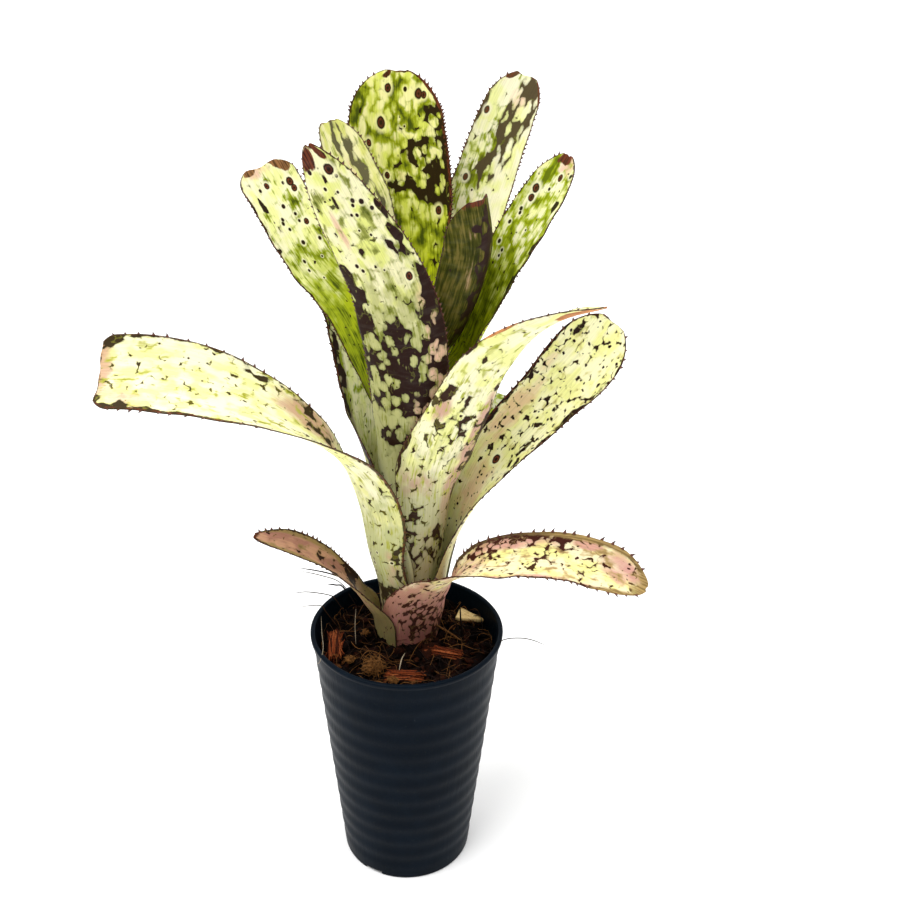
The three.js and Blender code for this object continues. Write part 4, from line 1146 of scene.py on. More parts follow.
class LeafPaint(Paint):
    """The markings of one leaf, laid on one over the other from its blade map and its fields."""

    def __init__(self, blade, settings):
        super().__init__("skin_" + blade.leaf.name)
        self.blade = blade
        self.rust = settings.rust
        self.look = {
            "pale": settings.cream, "second": blade.look.get("pale", settings.lemon), "lime": settings.lime,
            "moss": settings.moss, "dark": settings.maroon, "scorch": blade.look.get("dark", settings.maroon),
            "edge": settings.rust, "dry_tone": settings.rust, **blade.look,
        }
        self.dark = self.look["dark"]
        self.place = self.vector("ADD", self.blade_place(), (0.0, 0.0, PATTERN_DEPTH * blade.order))
        wander = self.noise(self.place, 0.22, 3.0, output="Color")
        wander = self.vector("SUBTRACT", wander, (0.5, 0.5, 0.5))
        self.bent = self.vector("ADD", self.place, self.scaled(wander, *WANDER))
        self.coarse = self.noise(self.stretched(self.bent, COARSE_MARKS))
        self.blot = self.noise(self.stretched(self.bent, BLOTCHES), detail=3.0, roughness=0.55)
        self.streak = self.noise(self.stretched(self.place, STREAKS))

    def stretched(self, where, marks):
        """The place over the size of a pattern's marks across and along the leaf."""
        across, along = marks
        return self.scaled(where, 1 / across, 1 / along, 1.0)

    def ground(self):
        """Two pale tones, the tone of the leaf's lower part, a blush, and the tint of the sheath, which is partly
        painted shade.
        """
        wide = self.noise(self.stretched(self.bent, WIDE_TONES))
        colour = self.cover(self.look["pale"], self.look["second"], wide, 0.42, 0.60)
        down = self.uneven(self.attribute("down"), self.coarse, 0.5)
        colour = self.cover(colour, self.look["low"], down, *self.look["fade"])
        blush = self.uneven(self.attribute("blush"), self.coarse, 0.9)
        colour = self.cover(colour, self.look["blush_tone"], blush, 0.30, 0.85, 0.0, 0.9)
        # The sheath's tint: partly the sheath's own tone and partly painted shade where the tube lies under the leaves
        return self.mix(self.times(self.attribute("throat"), 0.85), colour, self.look["sheath"])

    def clouds(self, colour):
        """Soft green clouds, darker in their middles.

        A mean of blotches, round drops and fine streaks shows where it passes a level, which falls as the
        leaf grows greener.
        """
        drops, _ = self.cells(self.stretched(self.bent, CLOUD_DROPS))
        spotted = self.math("ADD", self.times(self.blot, 0.56), self.times(drops, 0.44))
        streaky = self.look["streaky"]
        share = self.step(self.attribute("down"), 0.25, 0.9, streaky, min(1.0, streaky + 0.45))
        gain = self.times(self.math("SUBTRACT", self.streak, spotted), share)
        field = self.math("ADD", spotted, gain)
        kept = self.math("SUBTRACT", 1.0, self.times(self.attribute("throat"), 0.8))
        level = self.math("SUBTRACT", 0.655, self.times(self.times(kept, self.attribute("green")), 0.20))
        over = self.math("SUBTRACT", field, level)
        green = self.cover(self.look["lime"], self.look["moss"], over, 0.02, 0.16)
        return self.cover(colour, green, over, -0.09, 0.05)

    def network(self, colour):
        """A dark net between pale ovals, closing up where a patch is strong."""
        across, along = (size * self.look["oval"] for size in NET_OVALS)
        ovals, _ = self.cells(self.stretched(self.bent, (across, along * self.look["long"])))
        patch = self.attribute("patch")
        closed = self.uneven(patch, self.coarse, self.step(patch, 0.05, 0.4, 0.0, 0.9))
        radius = self.math("SUBTRACT", 1.02, self.times(closed, 0.76))
        beyond = self.math("SUBTRACT", ovals, radius)
        colour = self.cover(colour, self.look["moss"], beyond, -0.16, 0.02, 0.0, 0.45)
        return self.cover(colour, self.dark, beyond, -0.02, 0.05)

    def dashes(self, colour):
        """Short dark dashes in the corners between small cells, farthest from every cell's middle."""
        small, _ = self.cells(self.stretched(self.bent, DASH_CELLS))
        amount = self.uneven(self.attribute("dash"), self.coarse, 0.55)
        over = self.math("SUBTRACT", small, self.math("SUBTRACT", 1.02, self.times(amount, 0.50)))
        colour = self.cover(colour, self.look["lime"], over, -0.12, 0.02, 0.0, 0.35)
        tone = self.cover(self.look["dash_tone"], self.dark, self.blot, 0.4, 0.6)
        return self.cover(colour, tone, over, -0.02, 0.06)

    def specks(self, colour):
        """A few small dark dots: some of the cells have one, of a random size."""
        distance, draw = self.cells(self.stretched(self.bent, SPECK_CELLS))
        chance, size, _ = self.add("SeparateColor", {0: draw}).node.outputs
        beyond = self.math("SUBTRACT", distance, self.step(size, 0.0, 1.0, 0.09, 0.24))
        share = self.times(self.step(self.attribute("throat"), 0.9, 0.2), self.look["specks"])
        shown = self.math("LESS_THAN", chance, share)
        return self.mix(self.times(self.step(beyond, 0.05, -0.05), shown), colour, self.dark)

    def eye_distance(self, eyes):
        """Distance to the nearest eye's middle, over its radius, a little uneven."""
        nearest = EYE_FAR
        for from_tip, across, radius in eyes:
            length = self.blade.total - from_tip
            half_arc = self.blade.surface(np.array(length), np.array(across))[3]
            middle = (across * half_arc, length / EYE_STRETCH, PATTERN_DEPTH * self.blade.order)
            away = self.vector("DISTANCE", self.stretched(self.place, (1.0, EYE_STRETCH)), middle)
            nearest = self.math("MINIMUM", self.math("DIVIDE", away, radius), nearest)
        return self.uneven(nearest, self.blot, 0.9)

    def eyes(self, colour):
        """Small dots and larger ringed eyes, each in a pale halo."""
        dots = [eye for eye in self.look["eyes"] if eye[2] < LEAST_RING]
        rings = [eye for eye in self.look["eyes"] if eye[2] >= LEAST_RING]
        if dots:
            away = self.eye_distance(dots)
            colour = self.cover(colour, self.look["pale"], away, 2.2, 1.2, 0.0, 0.6)
            colour = self.cover(colour, self.dark, away, 1.2, 0.75)
        if rings:
            away = self.eye_distance(rings)
            worn = self.step(self.streak, 0.35, 0.65, 0.3, 1.0)
            colour = self.cover(colour, self.look["pale"], away, 2.2, 1.2, 0.0, 0.8)
            colour = self.cover(colour, self.dark, away, 1.18, 0.92)
            colour = self.mix(self.times(self.step(away, 0.84, 0.60), worn), colour, self.rust)
            colour = self.cover(colour, self.dark, away, 0.46, 0.26)
        return colour

    def margin(self, colour):
        """The dark ragged border along the margins."""
        ragged = self.noise(self.stretched(self.place, RAGGED_EDGE))
        rim = self.attribute("rim")
        inside = self.math("SUBTRACT", self.uneven(rim, ragged, 2.0), self.attribute("border"))
        tone = self.cover(self.dark, self.look["edge"], ragged, 0.42, 0.62)
        colour = self.cover(colour, tone, inside, 0.25, -0.35, 0.0, 0.95)
        return self.cover(colour, self.dark, rim, 0.40, 0.12, 0.0, 0.8)

    def dried(self, colour):
        """The dried brown tip and burns, streaked with a scorched tone and soft along their edge."""
        dry = self.uneven(self.attribute("dry"), self.blot, 12.0)
        tone = self.cover(self.look["dry_tone"], self.look["scorch"], self.streak, 0.40, 0.62, 0.0, 0.8)
        soft = 1.0 + 6.0 * self.look["soft_dry"]
        return self.cover(colour, tone, dry, -soft, soft)

    def finish(self, colour):
        """Fine lines along the leaf and faint silvery bands of scurf on its outer face."""
        lines = self.noise(self.stretched(self.place, FINE_LINES))
        scurf = self.noise(self.stretched(self.place, SCURF_BANDS), detail=3.0)
        outer = self.math("SUBTRACT", 1.0, self.attribute("inner"))
        silver = self.times(outer, self.step(scurf, 0.45, 0.7, 0.0, 0.025))
        colour = self.mix(silver, colour, SCURF_SILVER)
        shade = self.step(lines, 0.3, 0.7, 0.90, 1.06)
        grey = self.add("CombineColor", {0: shade, 1: shade, 2: shade})
        colour = self.mix(1.0, colour, grey, "MULTIPLY")
        return self.surface(
            colour, self.step(lines, 0.3, 0.7, 0.46, 0.58), self.bump(lines, 0.10, 0.8),
            Subsurface_Weight=0.05, Subsurface_Radius=(0.6, 1.0, 0.25), Subsurface_Scale=0.0008,
            Specular_IOR_Level=0.07,
        )


def leaf_paint(blade, settings):
    """A leaf's own finish: each kind of marking is laid over those before it."""
    paint = LeafPaint(blade, settings)
    colour = paint.ground()
    layers = (
        paint.clouds, paint.network, paint.dashes, paint.specks, paint.eyes, paint.margin, paint.dried,
    )
    for layer in layers:
        colour = layer(colour)
    return paint.finish(colour)


def soil_height(x, y):
    """Height of the bark mix: its level, two crossed waves, and a bell-shaped heap round the tube."""
    swell = np.sin(0.17 * x + 1) * np.cos(0.21 * y) + 0.6 * np.sin(0.43 * x - 0.37 * y)
    away = np.hypot(x - axis_x(SOIL_LEVEL), y - AXIS_Y)
    return SOIL_LEVEL + SOIL_RELIEF * swell + MOUND_HEIGHT * np.exp(-((away / MOUND_REACH) ** 2))


def pot_radius(height):
    """Outer radius of the pot's wall, which widens evenly from its foot to its lip."""
    return POT_BASE_RADIUS + (POT_RIM_RADIUS - POT_LIP - POT_BASE_RADIUS) * height / POT_HEIGHT


def inner_radius(height):
    """Inner radius of the pot's wall, inside the deepest ripples."""
    return pot_radius(height) - RIPPLE_DEPTH - POT_WALL


def make_pot(settings):
    """The pot: a closed profile turned round the axis, with slots cut through its foot.

    Outside, the wall's radius grows with height, and a wave of the ripple depth is taken off it between the
    first and the last ripple. A rounded lip turns over into the plain inner wall, down to the floor.
    """
    lip_bottom = POT_HEIGHT - POT_LIP_HEIGHT
    heights = np.arange(1.0, lip_bottom, POT_ROW_STEP)
    phase = (heights - RIPPLE_START) / (RIPPLE_END - RIPPLE_START)
    ripple = np.where((phase > 0) & (phase < 1), 0.5 - 0.5 * np.cos(2 * np.pi * RIPPLE_COUNT * phase), 0)
    wall = np.stack([pot_radius(heights) - settings.ripple / MM * ripple, heights], 1)
    foot = [pot_radius(0.0), 0.0] + np.array(FOOT_ROUNDING) * [-1, 1]
    under_lip = [[pot_radius(lip_bottom) + 0.1, lip_bottom + 0.3], [POT_RIM_RADIUS - 0.15, lip_bottom + 0.6]]
    lip_turn = np.radians(np.arange(-12, 181, 24))
    lip_radius = (POT_RIM_RADIUS - inner_radius(POT_HEIGHT)) / 2
    lip = np.stack([
        POT_RIM_RADIUS - lip_radius + lip_radius * np.cos(lip_turn),
        POT_HEIGHT - LIP_ROUNDING + LIP_ROUNDING * np.sin(lip_turn),
    ], 1)
    inside_heights = np.linspace(POT_HEIGHT - 2.5, POT_FLOOR + 1.5, 24)
    inside = np.stack([inner_radius(inside_heights), inside_heights], 1)
    floor = [inner_radius(POT_FLOOR), POT_FLOOR] + np.array(FLOOR_ROUNDING) * [-1, 1]
    profile = np.concatenate([foot, wall, under_lip, lip, inside, floor])
    angles = np.arange(POT_ANGLES) * 2 * np.pi / POT_ANGLES
    turned = around(profile[:, None, 0], profile[:, None, 1], angles).reshape(-1, 3)
    # The underside and the floor are fans of quads round a middle point each
    points = np.concatenate([turned, [[0, 0, 0], [0, 0, POT_FLOOR]]])
    here = np.arange(0, POT_ANGLES, 2)
    after = (here + 2) % POT_ANGLES
    last = (len(profile) - 1) * POT_ANGLES
    middle = 0 * here + len(turned)
    under = np.stack([here, middle, after, here + 1], 1)
    above = np.stack([last + here, last + here + 1, last + after, middle + 1], 1)
    faces = np.concatenate([tube_wall(len(profile), POT_ANGLES), under, above])
    piece = make_mesh("pot_shell", points, faces, [pot_paint(settings)])
    cut_drains(piece)
    settle(piece, "pot_plastic", "pot")


def cut_drains(piece):
    """Cuts the drain slots: boxes that straddle the foot's edge at even angles are taken away."""
    boxes = bmesh.new()
    length = DRAIN_REACH + DRAIN_PROUD
    middle = POT_BASE_RADIUS + DRAIN_PROUD - length / 2
    size = Matrix.Diagonal((length * MM, DRAIN_WIDTH * MM, 2 * DRAIN_HEIGHT * MM, 1))
    for slot in range(DRAIN_COUNT):
        turn = Matrix.Rotation(2 * math.pi * slot / DRAIN_COUNT, 4, "Z")
        place = turn @ Matrix.Translation((middle * MM, 0, 0)) @ size
        bmesh.ops.create_cube(boxes, size=1.0, matrix=place)
    mesh = bpy.data.meshes.new("drain_cutter")
    boxes.to_mesh(mesh)
    boxes.free()
    cutter = new_object("drain_cutter", mesh)
    cut = piece.modifiers.new("drains", "BOOLEAN")
    cut.object = cutter
    cut.operation = "DIFFERENCE"
    cut.solver = "EXACT"
    bpy.context.view_layer.update()
    finished = bpy.data.meshes.new_from_object(piece.evaluated_get(bpy.context.evaluated_depsgraph_get()))
    piece.modifiers.clear()
    whole = piece.data
    piece.data = finished
    bpy.data.meshes.remove(whole)
    bpy.data.objects.remove(cutter)
    bpy.data.meshes.remove(mesh)


def pot_paint(settings):
    """Satin blue-black plastic with a faint mottled gloss, fine drawn lines and a few pale scuffs."""
    paint = Paint("pot_plastic")
    place = paint.object_place()
    mottle = paint.noise(place, 0.05, 4.0, 0.6)
    fine = paint.noise(place, 1.4, 3.0, 0.6)
    drawn = paint.noise(paint.scaled(place, 0.35, 0.35, 0.018), 1.0, 3.0, 0.65)
    scratch = paint.noise(paint.scaled(place, 0.9, 0.9, 0.10), 1.0, 4.0, 0.7)
    scuff = paint.times(paint.step(scratch, 0.66, 0.76), paint.step(mottle, 0.50, 0.62))
    lighter = [1.4 * part for part in settings.plastic]
    colour = paint.cover(settings.plastic, lighter, mottle, 0.35, 0.7)
    colour = paint.mix(paint.times(scuff, 0.22), colour, SCUFF)
    roughness = paint.math("ADD", settings.roughness - 0.05, paint.times(mottle, 0.14))
    roughness = paint.math("ADD", roughness, paint.times(scuff, 0.2))
    normal = paint.bump(fine, 0.04, 0.5, paint.bump(drawn, 0.35, 0.5))
    return paint.surface(colour, roughness, normal, Specular_IOR_Level=0.03)


def make_bed(settings):
    """The body of the mix: a polar grid on soil_height with a coarse crumb, closed by a side and a bottom."""
    outer = inner_radius(SOIL_LEVEL - 2 * SOIL_RELIEF) - SEAT_GAP
    angles = np.arange(BED_ANGLES) * 2 * np.pi / BED_ANGLES
    radii = outer * np.linspace(1, BED_MIDDLE, BED_ROWS)
    x = radii[:, None] * np.cos(angles)
    y = radii[:, None] * np.sin(angles)
    crumb = 0.7 * waves(x, y, 41) + 0.45 * waves(x, y, 42, 9, 1.5, 3.5)
    top = np.stack([x, y, soil_height(x, y) - BED_SINK + crumb], -1)
    low_radius = inner_radius(BED_DEPTH) - SEAT_GAP
    bottom = [around(share * low_radius, BED_DEPTH, angles) for share in (BED_MIDDLE, 1)]
    rows = np.concatenate([bottom, top])
    faces = tube_faces(len(rows), BED_ANGLES)
    piece = make_mesh("mix_bed", rows.reshape(-1, 3), faces, [bark_paint(settings)])
    set_attribute(piece, "tone", np.full(len(piece.data.vertices), 0.15))
    settle(piece, "bark_mix", "substrate")


def block_template(cuts, square, rounded):
    """Points and quads of a worn block: a cut cube of side 2 and a ball, added by their two shares."""
    shape = bmesh.new()
    bmesh.ops.create_cube(shape, size=2.0)
    bmesh.ops.subdivide_edges(shape, edges=shape.edges[:], cuts=cuts, use_grid_fill=True)
    shape.verts.ensure_lookup_table()
    points = np.array([vertex.co[:] for vertex in shape.verts])
    faces = np.array([[vertex.index for vertex in face.verts] for face in shape.faces])
    shape.free()
    return square * points + rounded * unit(points), faces


def turned_by(angles):
    """Rotation matrices from arrays of angles about X, Y and Z."""
    cx, cy, cz = np.cos(angles).T
    sx, sy, sz = np.sin(angles).T
    rows = [
        [cy * cz, sx * sy * cz - cx * sz, cx * sy * cz + sx * sz],
        [cy * sz, sx * sy * sz + cx * cz, cx * sy * sz - sx * cz],
        [-sy, sx * cy, cx * cy],
    ]
    return np.moveaxis(np.array(rows), -1, 0)


LUMP_SEED = 17
# Half sizes in mm along a lump's three axes, how much they vary, and the longest
LUMP_SIZES = ((1.3, 3.2), (0.9, 2.0), (0.5, 1.1))
LUMP_SPREAD = 0.38
LONGEST_LUMP = 4.5
LUMP_DENTS = 0.13
# How high in mm lumps lie on the mix, and how far they tip in radians
LUMP_LIFTS = (-0.4, 1.5)
LUMP_TILT = 0.45
# How far in mm the lumps' middles and their outsides stay from the pot's wall
LUMP_INSET = 3.2
LUMP_GAP = 0.5


def make_lumps(settings):
    """Bark lumps on top of the mix: seeded blocks, worn round, dented, turned and laid on soil_height."""
    draw = np.random.default_rng(LUMP_SEED)
    count = settings.lumps
    template, quads = block_template(2, 0.55 / math.sqrt(1.6), 0.45)
    radius = (inner_radius(SOIL_LEVEL) - LUMP_INSET) * np.sqrt(draw.uniform(0.02, 1, count))
    angle = draw.uniform(0, 2 * np.pi, count)
    x = radius * np.cos(angle)
    y = radius * np.sin(angle)
    grown = draw.lognormal(0.0, LUMP_SPREAD, count)[:, None]
    size = grown * np.stack([draw.uniform(low, high, count) for low, high in LUMP_SIZES], 1)
    size = np.minimum(size, LONGEST_LUMP)
    lift = draw.uniform(*LUMP_LIFTS, count)
    tilts = [draw.normal(0, LUMP_TILT, count) for _ in range(2)]
    turns = np.stack([*tilts, draw.uniform(0, 2 * np.pi, count)], 1)
    shift = draw.uniform(-9, 9, (count, 1, 3))
    body = template[None] * np.ones((count, 1, 1))
    dents = np.sin(2.3 * (body[..., [1, 2, 0]] + shift)) + 0.6 * np.sin(4.1 * (body[..., [2, 0, 1]] - shift))
    body = body * (1 + LUMP_DENTS * dents) * size[:, None, :]
    body = np.einsum("nij,nkj->nki", turned_by(turns), body)
    body = body + np.stack([x, y, soil_height(x, y) + lift], 1)[:, None]
    # Lumps at the wall are pushed in so that they stay inside the pot
    away = np.hypot(body[..., 0], body[..., 1])
    over = np.maximum(away.max(1) - inner_radius(SOIL_LEVEL) + LUMP_GAP, 0)
    body = body - around(over, 0, angle)[:, None]
    faces = copied_faces(quads, count, len(template))
    piece = make_mesh("bark_lumps", body.reshape(-1, 3), faces, [bark_paint(settings)])
    set_attribute(piece, "tone", np.repeat(draw.beta(1.1, 3.6, count), len(template)))
    settle(piece, "bark_mix")


def bark_paint(settings):
    """Bark: dark to reddish to tan by each lump's tone, with torn fibre lines and painted shade in their hollows."""
    name = "bark"
    if name in bpy.data.materials:
        return bpy.data.materials[name]
    paint = Paint(name)
    place = paint.object_place()
    coarse = paint.noise(place, 0.35, 4.0, 0.6)
    fibre = paint.noise(paint.scaled(place, 2.2, 0.5, 1.6), 1.0, 4.0, 0.65)
    level = paint.uneven(paint.attribute("tone"), coarse, 0.8)
    colour = paint.cover(settings.bark, settings.red_bark, level, 0.10, 0.55)
    colour = paint.cover(colour, settings.tan_bark, level, 0.55, 0.85)
    # Painted shade: the colour darkens where the fibre relief, which also drives the bump, is low
    hollow_shade = [0.3 * part for part in settings.bark]
    colour = paint.cover(colour, hollow_shade, fibre, 0.35, 0.62, 0.75, 0.0)
    roughness = paint.step(coarse, 0.3, 0.7, 0.62, 0.92)
    return paint.surface(colour, roughness, paint.bump(fibre, 0.6, 0.9), Specular_IOR_Level=0.04)


# Share of its thickness that a fibre keeps at its ends, and a direction that no fibre runs along
FIBRE_TAPER = 0.35
ASKEW = (0.31, 0.17, 0.93)


def sweep(route, radius, sides):
    """Points of a thin tube along a route: rings square to the route, thinner toward both ends."""
    forward = unit(np.gradient(route, axis=0))
    aside = unit(np.cross(forward, ASKEW))
    across = np.cross(forward, aside)
    share = np.linspace(-1, 1, len(route))
    thick = radius * (1 - (1 - FIBRE_TAPER) * share**4)
    turn = np.arange(sides) * 2 * np.pi / sides
    ring = aside[:, None] * np.cos(turn)[None, :, None] + across[:, None] * np.sin(turn)[None, :, None]
    return (route[:, None] + thick[:, None, None] * ring).reshape(-1, 3)


def tube_piece(name, tubes, sides, material):
    """Many thin closed tubes in one object, each given by its route, its radius and its tone."""
    blocks, faces, marks = [], [], []
    first = 0
    for route, radius, tone in tubes:
        blocks.append(sweep(route, radius, sides))
        faces.append(tube_faces(len(route), sides) + first)
        marks.append(np.full(len(blocks[-1]), tone))
        first += len(blocks[-1])
    piece = make_mesh(name, np.concatenate(blocks), np.concatenate(faces), [material])
    set_attribute(piece, "tone", np.concatenate(marks))
    return piece


def smooth_route(points, count):
    """A smooth route through given points, by cubic stretches with mean slopes."""
    points = np.array(points, float)
    where = np.linspace(0, len(points) - 1, count)
    span = np.clip(where.astype(int), 0, len(points) - 2)
    return between(points, np.gradient(points, axis=0), span, (where - span)[:, None])


FIBRE_SEED = 23
FIBRE_POINTS = 9
FIBRE_LENGTHS = (6, 30)
FIBRE_RADII = (0.08, 0.22)
FIBRE_INSET = 2.0
STRAY_POINTS = 16
PITH_POINTS = 7
PITH_RADII = (0.10, 0.30)
PITH_TONES = (0.66, 0.92)


def make_fibres(settings):
    """Fine root and husk fibres: seeded arcs on the mix, the few longer ones over the rim, and the pith."""
    draw = np.random.default_rng(FIBRE_SEED)
    reach = inner_radius(SOIL_LEVEL) - FIBRE_INSET
    tubes = []
    for _ in range(settings.fibres):
        radius = reach * math.sqrt(draw.uniform(0.1, 1))
        angle = draw.uniform(0, 2 * math.pi)
        heading = draw.uniform(0, 2 * math.pi)
        length = draw.uniform(*FIBRE_LENGTHS)
        bend = draw.normal(0, 1.2)
        share = np.linspace(0, 1, FIBRE_POINTS)
        course = heading + bend * share
        x = radius * math.cos(angle) + np.cumsum(np.cos(course)) * length / FIBRE_POINTS
        y = radius * math.sin(angle) + np.cumsum(np.sin(course)) * length / FIBRE_POINTS
        pull = np.minimum(1, reach / np.hypot(x, y))
        x, y = x * pull, y * pull
        rise = draw.uniform(0.4, 3.0) + draw.uniform(-1, 3.0) * np.sin(np.pi * share)
        route = np.stack([x, y, soil_height(x, y) + rise], 1)
        tubes.append((route, draw.uniform(*FIBRE_RADII), 0.9 * draw.uniform(0, 1) ** 1.8))
    for points, thickness, tone in STRAY_FIBRES:
        tubes.append((smooth_route(points, STRAY_POINTS), thickness / 2, tone))
    for middle, (half_x, half_y) in PITH:
        for _ in range(int(PITH_FIBRES * half_x)):
            start, end = draw.normal(0, 0.48, (2, 3)) * (half_x, half_y, 0.8 * half_y)
            bulge = draw.normal(0, 0.35, 3) * half_y
            share = np.linspace(0, 1, PITH_POINTS)[:, None]
            route = middle + start + (end - start) * share + bulge * np.sin(np.pi * share)
            tubes.append((route, draw.uniform(*PITH_RADII), draw.uniform(*PITH_TONES)))
    piece = tube_piece("root_fibres", tubes, 4, fibre_paint(settings))
    settle(piece, "bark_mix")


def fibre_paint(settings):
    """Fibres: dark reddish to pale straw by each fibre's tone."""
    paint = Paint("fibre")
    tone = paint.attribute("tone")
    grain = paint.noise(paint.object_place(), 0.8)
    colour = paint.cover(FIBRE_DARK, FIBRE_TAN, tone, 0.05, 0.85)
    colour = paint.cover(colour, FIBRE_STRAW, tone, 0.90, 1.0)
    colour = paint.cover(colour, settings.bark, grain, 0.35, 0.65, 0.0, 0.40)
    return paint.surface(colour, paint.step(grain, 0.3, 0.7, 0.55, 0.8), Specular_IOR_Level=0.1)


def placed(points, chip):
    """Points of a chip tipped about its own X, then turned about Z and moved to its place."""
    middle, _, turn, tip = chip
    return points @ turned_by(np.radians([[tip, 0, turn]]))[0].T + middle


HUSK_SEED = 31
HUSK_STRANDS = 110
HUSK_POINTS = 9
HUSK_RADII = (0.12, 0.42)
# Half the core's size over the chip's
HUSK_CORE = 0.33


def make_husks():
    """Husk chips: each is a ragged bundle of torn fibres in its chip's box, over a rough core.

    A fibre runs along the chip's long axis at a random place of its oval section, and bends sideways at its
    ends. The core is a worn block with a wave of dents.
    """
    draw = np.random.default_rng(HUSK_SEED)
    material = husk_paint()
    core, quads = block_template(4, 0.8, 0.2)
    core = core * (1 + 0.10 * np.sin(5 * core[:, [1, 2, 0]] + 3 * core[:, [2, 0, 1]]))
    share = np.linspace(-1, 1, HUSK_POINTS)
    for name, chip in CHIPS.items():
        size = np.array(chip[1], float)
        long_axis = int(size[:2].argmax())
        routes = []
        for _ in range(HUSK_STRANDS):
            turn = draw.uniform(0, 2 * math.pi)
            off_middle = 0.47 * math.sqrt(draw.uniform(0, 1))
            length = 0.12 + 0.40 * draw.beta(2.2, 1.6)
            slide = draw.uniform(-1, 1) * max(0.04, 0.50 - length)
            fray = draw.normal(0, 0.7) * share**3 + draw.normal(0, 0.8) * share
            route = np.zeros((len(share), 3))
            route[:, long_axis] = (share * length + slide) * size[long_axis]
            route[:, 1 - long_axis] = math.cos(turn) * off_middle * size[1 - long_axis] + fray
            route[:, 2] = math.sin(turn) * off_middle * size[2] + draw.normal(0, 0.5) * share**2
            routes.append(placed(route, chip))
        radii = draw.uniform(*HUSK_RADII, HUSK_STRANDS)
        tones = draw.uniform(0, 1, HUSK_STRANDS)
        piece = tube_piece(name.replace("chip", "bundle"), zip(routes, radii, tones), 6, material)
        core_piece = make_mesh(name + "_core", placed(core * size * HUSK_CORE, chip), quads, [material])
        set_attribute(core_piece, "tone", np.full(len(core), 0.2))
        join(piece, core_piece)
        settle(piece, "husk", name)


def join(piece, other):
    """Adds the other object's mesh to the piece and removes the other object."""
    bpy.context.view_layer.update()
    both = [piece, other]
    with bpy.context.temp_override(
        active_object=piece, object=piece, selected_objects=both, selected_editable_objects=both,
    ):
        bpy.ops.object.join()


def husk_paint():
    """Orange-brown husk with strand-to-strand variation and dark gaps."""
    paint = Paint("husk")
    grain = paint.noise(paint.object_place(), 1.2, 4.0, 0.65)
    level = paint.uneven(paint.attribute("tone"), grain, 1.0)
    colour = paint.cover(HUSK_DARK, HUSK_RED, level, 0.0, 0.55)
    colour = paint.cover(colour, HUSK_PALE, level, 0.6, 1.2)
    roughness = paint.step(grain, 0.3, 0.7, 0.6, 0.85)
    return paint.surface(colour, roughness, paint.bump(grain, 0.4, 0.8), Specular_IOR_Level=0.06)


# The wood chip's grid, and where along its length, from -1 to 1, its sides run to a point
WOOD_ROWS = 26
WOOD_COLUMNS = 20
WOOD_APEX = 0.25


def make_wood():
    """The pale wood chip: a split wedge that runs to a point, with torn ends and grain ridges.

    u runs along it and v across it, from -1 to 1. The length shrinks toward the apex as v grows, the
    thickness shrinks a little toward the apex and the ends, and two sine waves of v raise the grain.
    """
    size = np.array(WOOD_CHIP[1], float)
    u = np.linspace(-1, 1, WOOD_ROWS)[:, None] + np.zeros((1, WOOD_COLUMNS))
    v = np.linspace(-1, 1, WOOD_COLUMNS)[None, :] + np.zeros((WOOD_ROWS, 1))
    reach = 1 - 0.9 * (v + 1) / 2
    along = u * reach + WOOD_APEX * (1 - reach)
    x = along * size[0] * 0.48
    y = v * size[1] * 0.48 + 0.4 * np.sin(4 * u + 1) * (v < -0.9)
    ridge = 0.10 * np.sin(11 * v + 1.6 * along) + 0.07 * np.sin(25 * v + 2 * along)
    half = size[2] * 0.42 * (1 - 0.3 * (v + 1) / 2) * (1 - 0.25 * np.abs(u) ** 8)
    upper = np.stack([x, y, half + ridge], -1).reshape(-1, 3)
    lower = np.stack([x, y, -half + ridge * 0.4], -1).reshape(-1, 3)
    points = placed(np.concatenate([upper, lower]), WOOD_CHIP)
    piece = make_mesh("wood_flake", points, sheet_faces(WOOD_ROWS, WOOD_COLUMNS), [wood_paint()])
    grain_map = np.concatenate([np.stack([u, v], -1).reshape(-1, 2)] * 2)
    set_uv(piece, "blade", grain_map * size[:2] * 0.5 * UV_PER_MM)
    settle(piece, "pale_wood", "wood_chip")


def wood_paint():
    """Pale split wood with straight grain, a few brown streaks and dusty edges."""
    paint = Paint("pale_wood")
    grain = paint.noise(paint.scaled(paint.blade_place(), 0.10, 1.6, 1.0), 1.0, 4.0, 0.6)
    dust = paint.noise(paint.object_place(), 0.35, 3.0)
    colour = paint.cover(WOOD_DEEP, WOOD_PALE, grain, 0.35, 0.65)
    colour = paint.cover(colour, WOOD_DUST, dust, 0.52, 0.72, 0.0, 0.75)
    roughness = paint.step(grain, 0.3, 0.7, 0.6, 0.8)
    return paint.surface(colour, roughness, paint.bump(grain, 0.25, 0.7), Specular_IOR_Level=0.1)


def dress_stem():
    """The short stem keeps the model's shape and gets a tan, ringed finish."""
    paint = Paint("stem_tan")
    rings = paint.noise(paint.scaled(paint.object_place(), 0.05, 0.05, 0.9), 1.0, 3.0)
    colour = paint.cover(STEM_DARK, STEM_TAN, rings, 0.4, 0.6)
    stem = frame["nodes"]["stem"]
    stem.data.materials.clear()
    stem.data.materials.append(paint.surface(colour, 0.7, paint.bump(rings, 0.4, 0.6)))


# Camera: its place in mm, and its pitch down, roll and yaw in degrees, worked out from the pot in the photo
CAMERA_PLACE = (20.0, -542.0, 530.0)
CAMERA_PITCH = 26.7
CAMERA_ROLL = 0.97
CAMERA_YAW = 0.2
CAMERA_LENS = 48.0
CAMERA_SENSOR = 36.0

FLOOR_REACH = 9000.0
# Each sun: the direction of its light, the angle of its disc in degrees, and its share of the key's strength
SUNS = {
    "key": ((0.45, 0.35, -1.0), 40.0, 1.0),
    "top": ((-0.30, 0.10, -1.0), 60.0, 0.5),
}


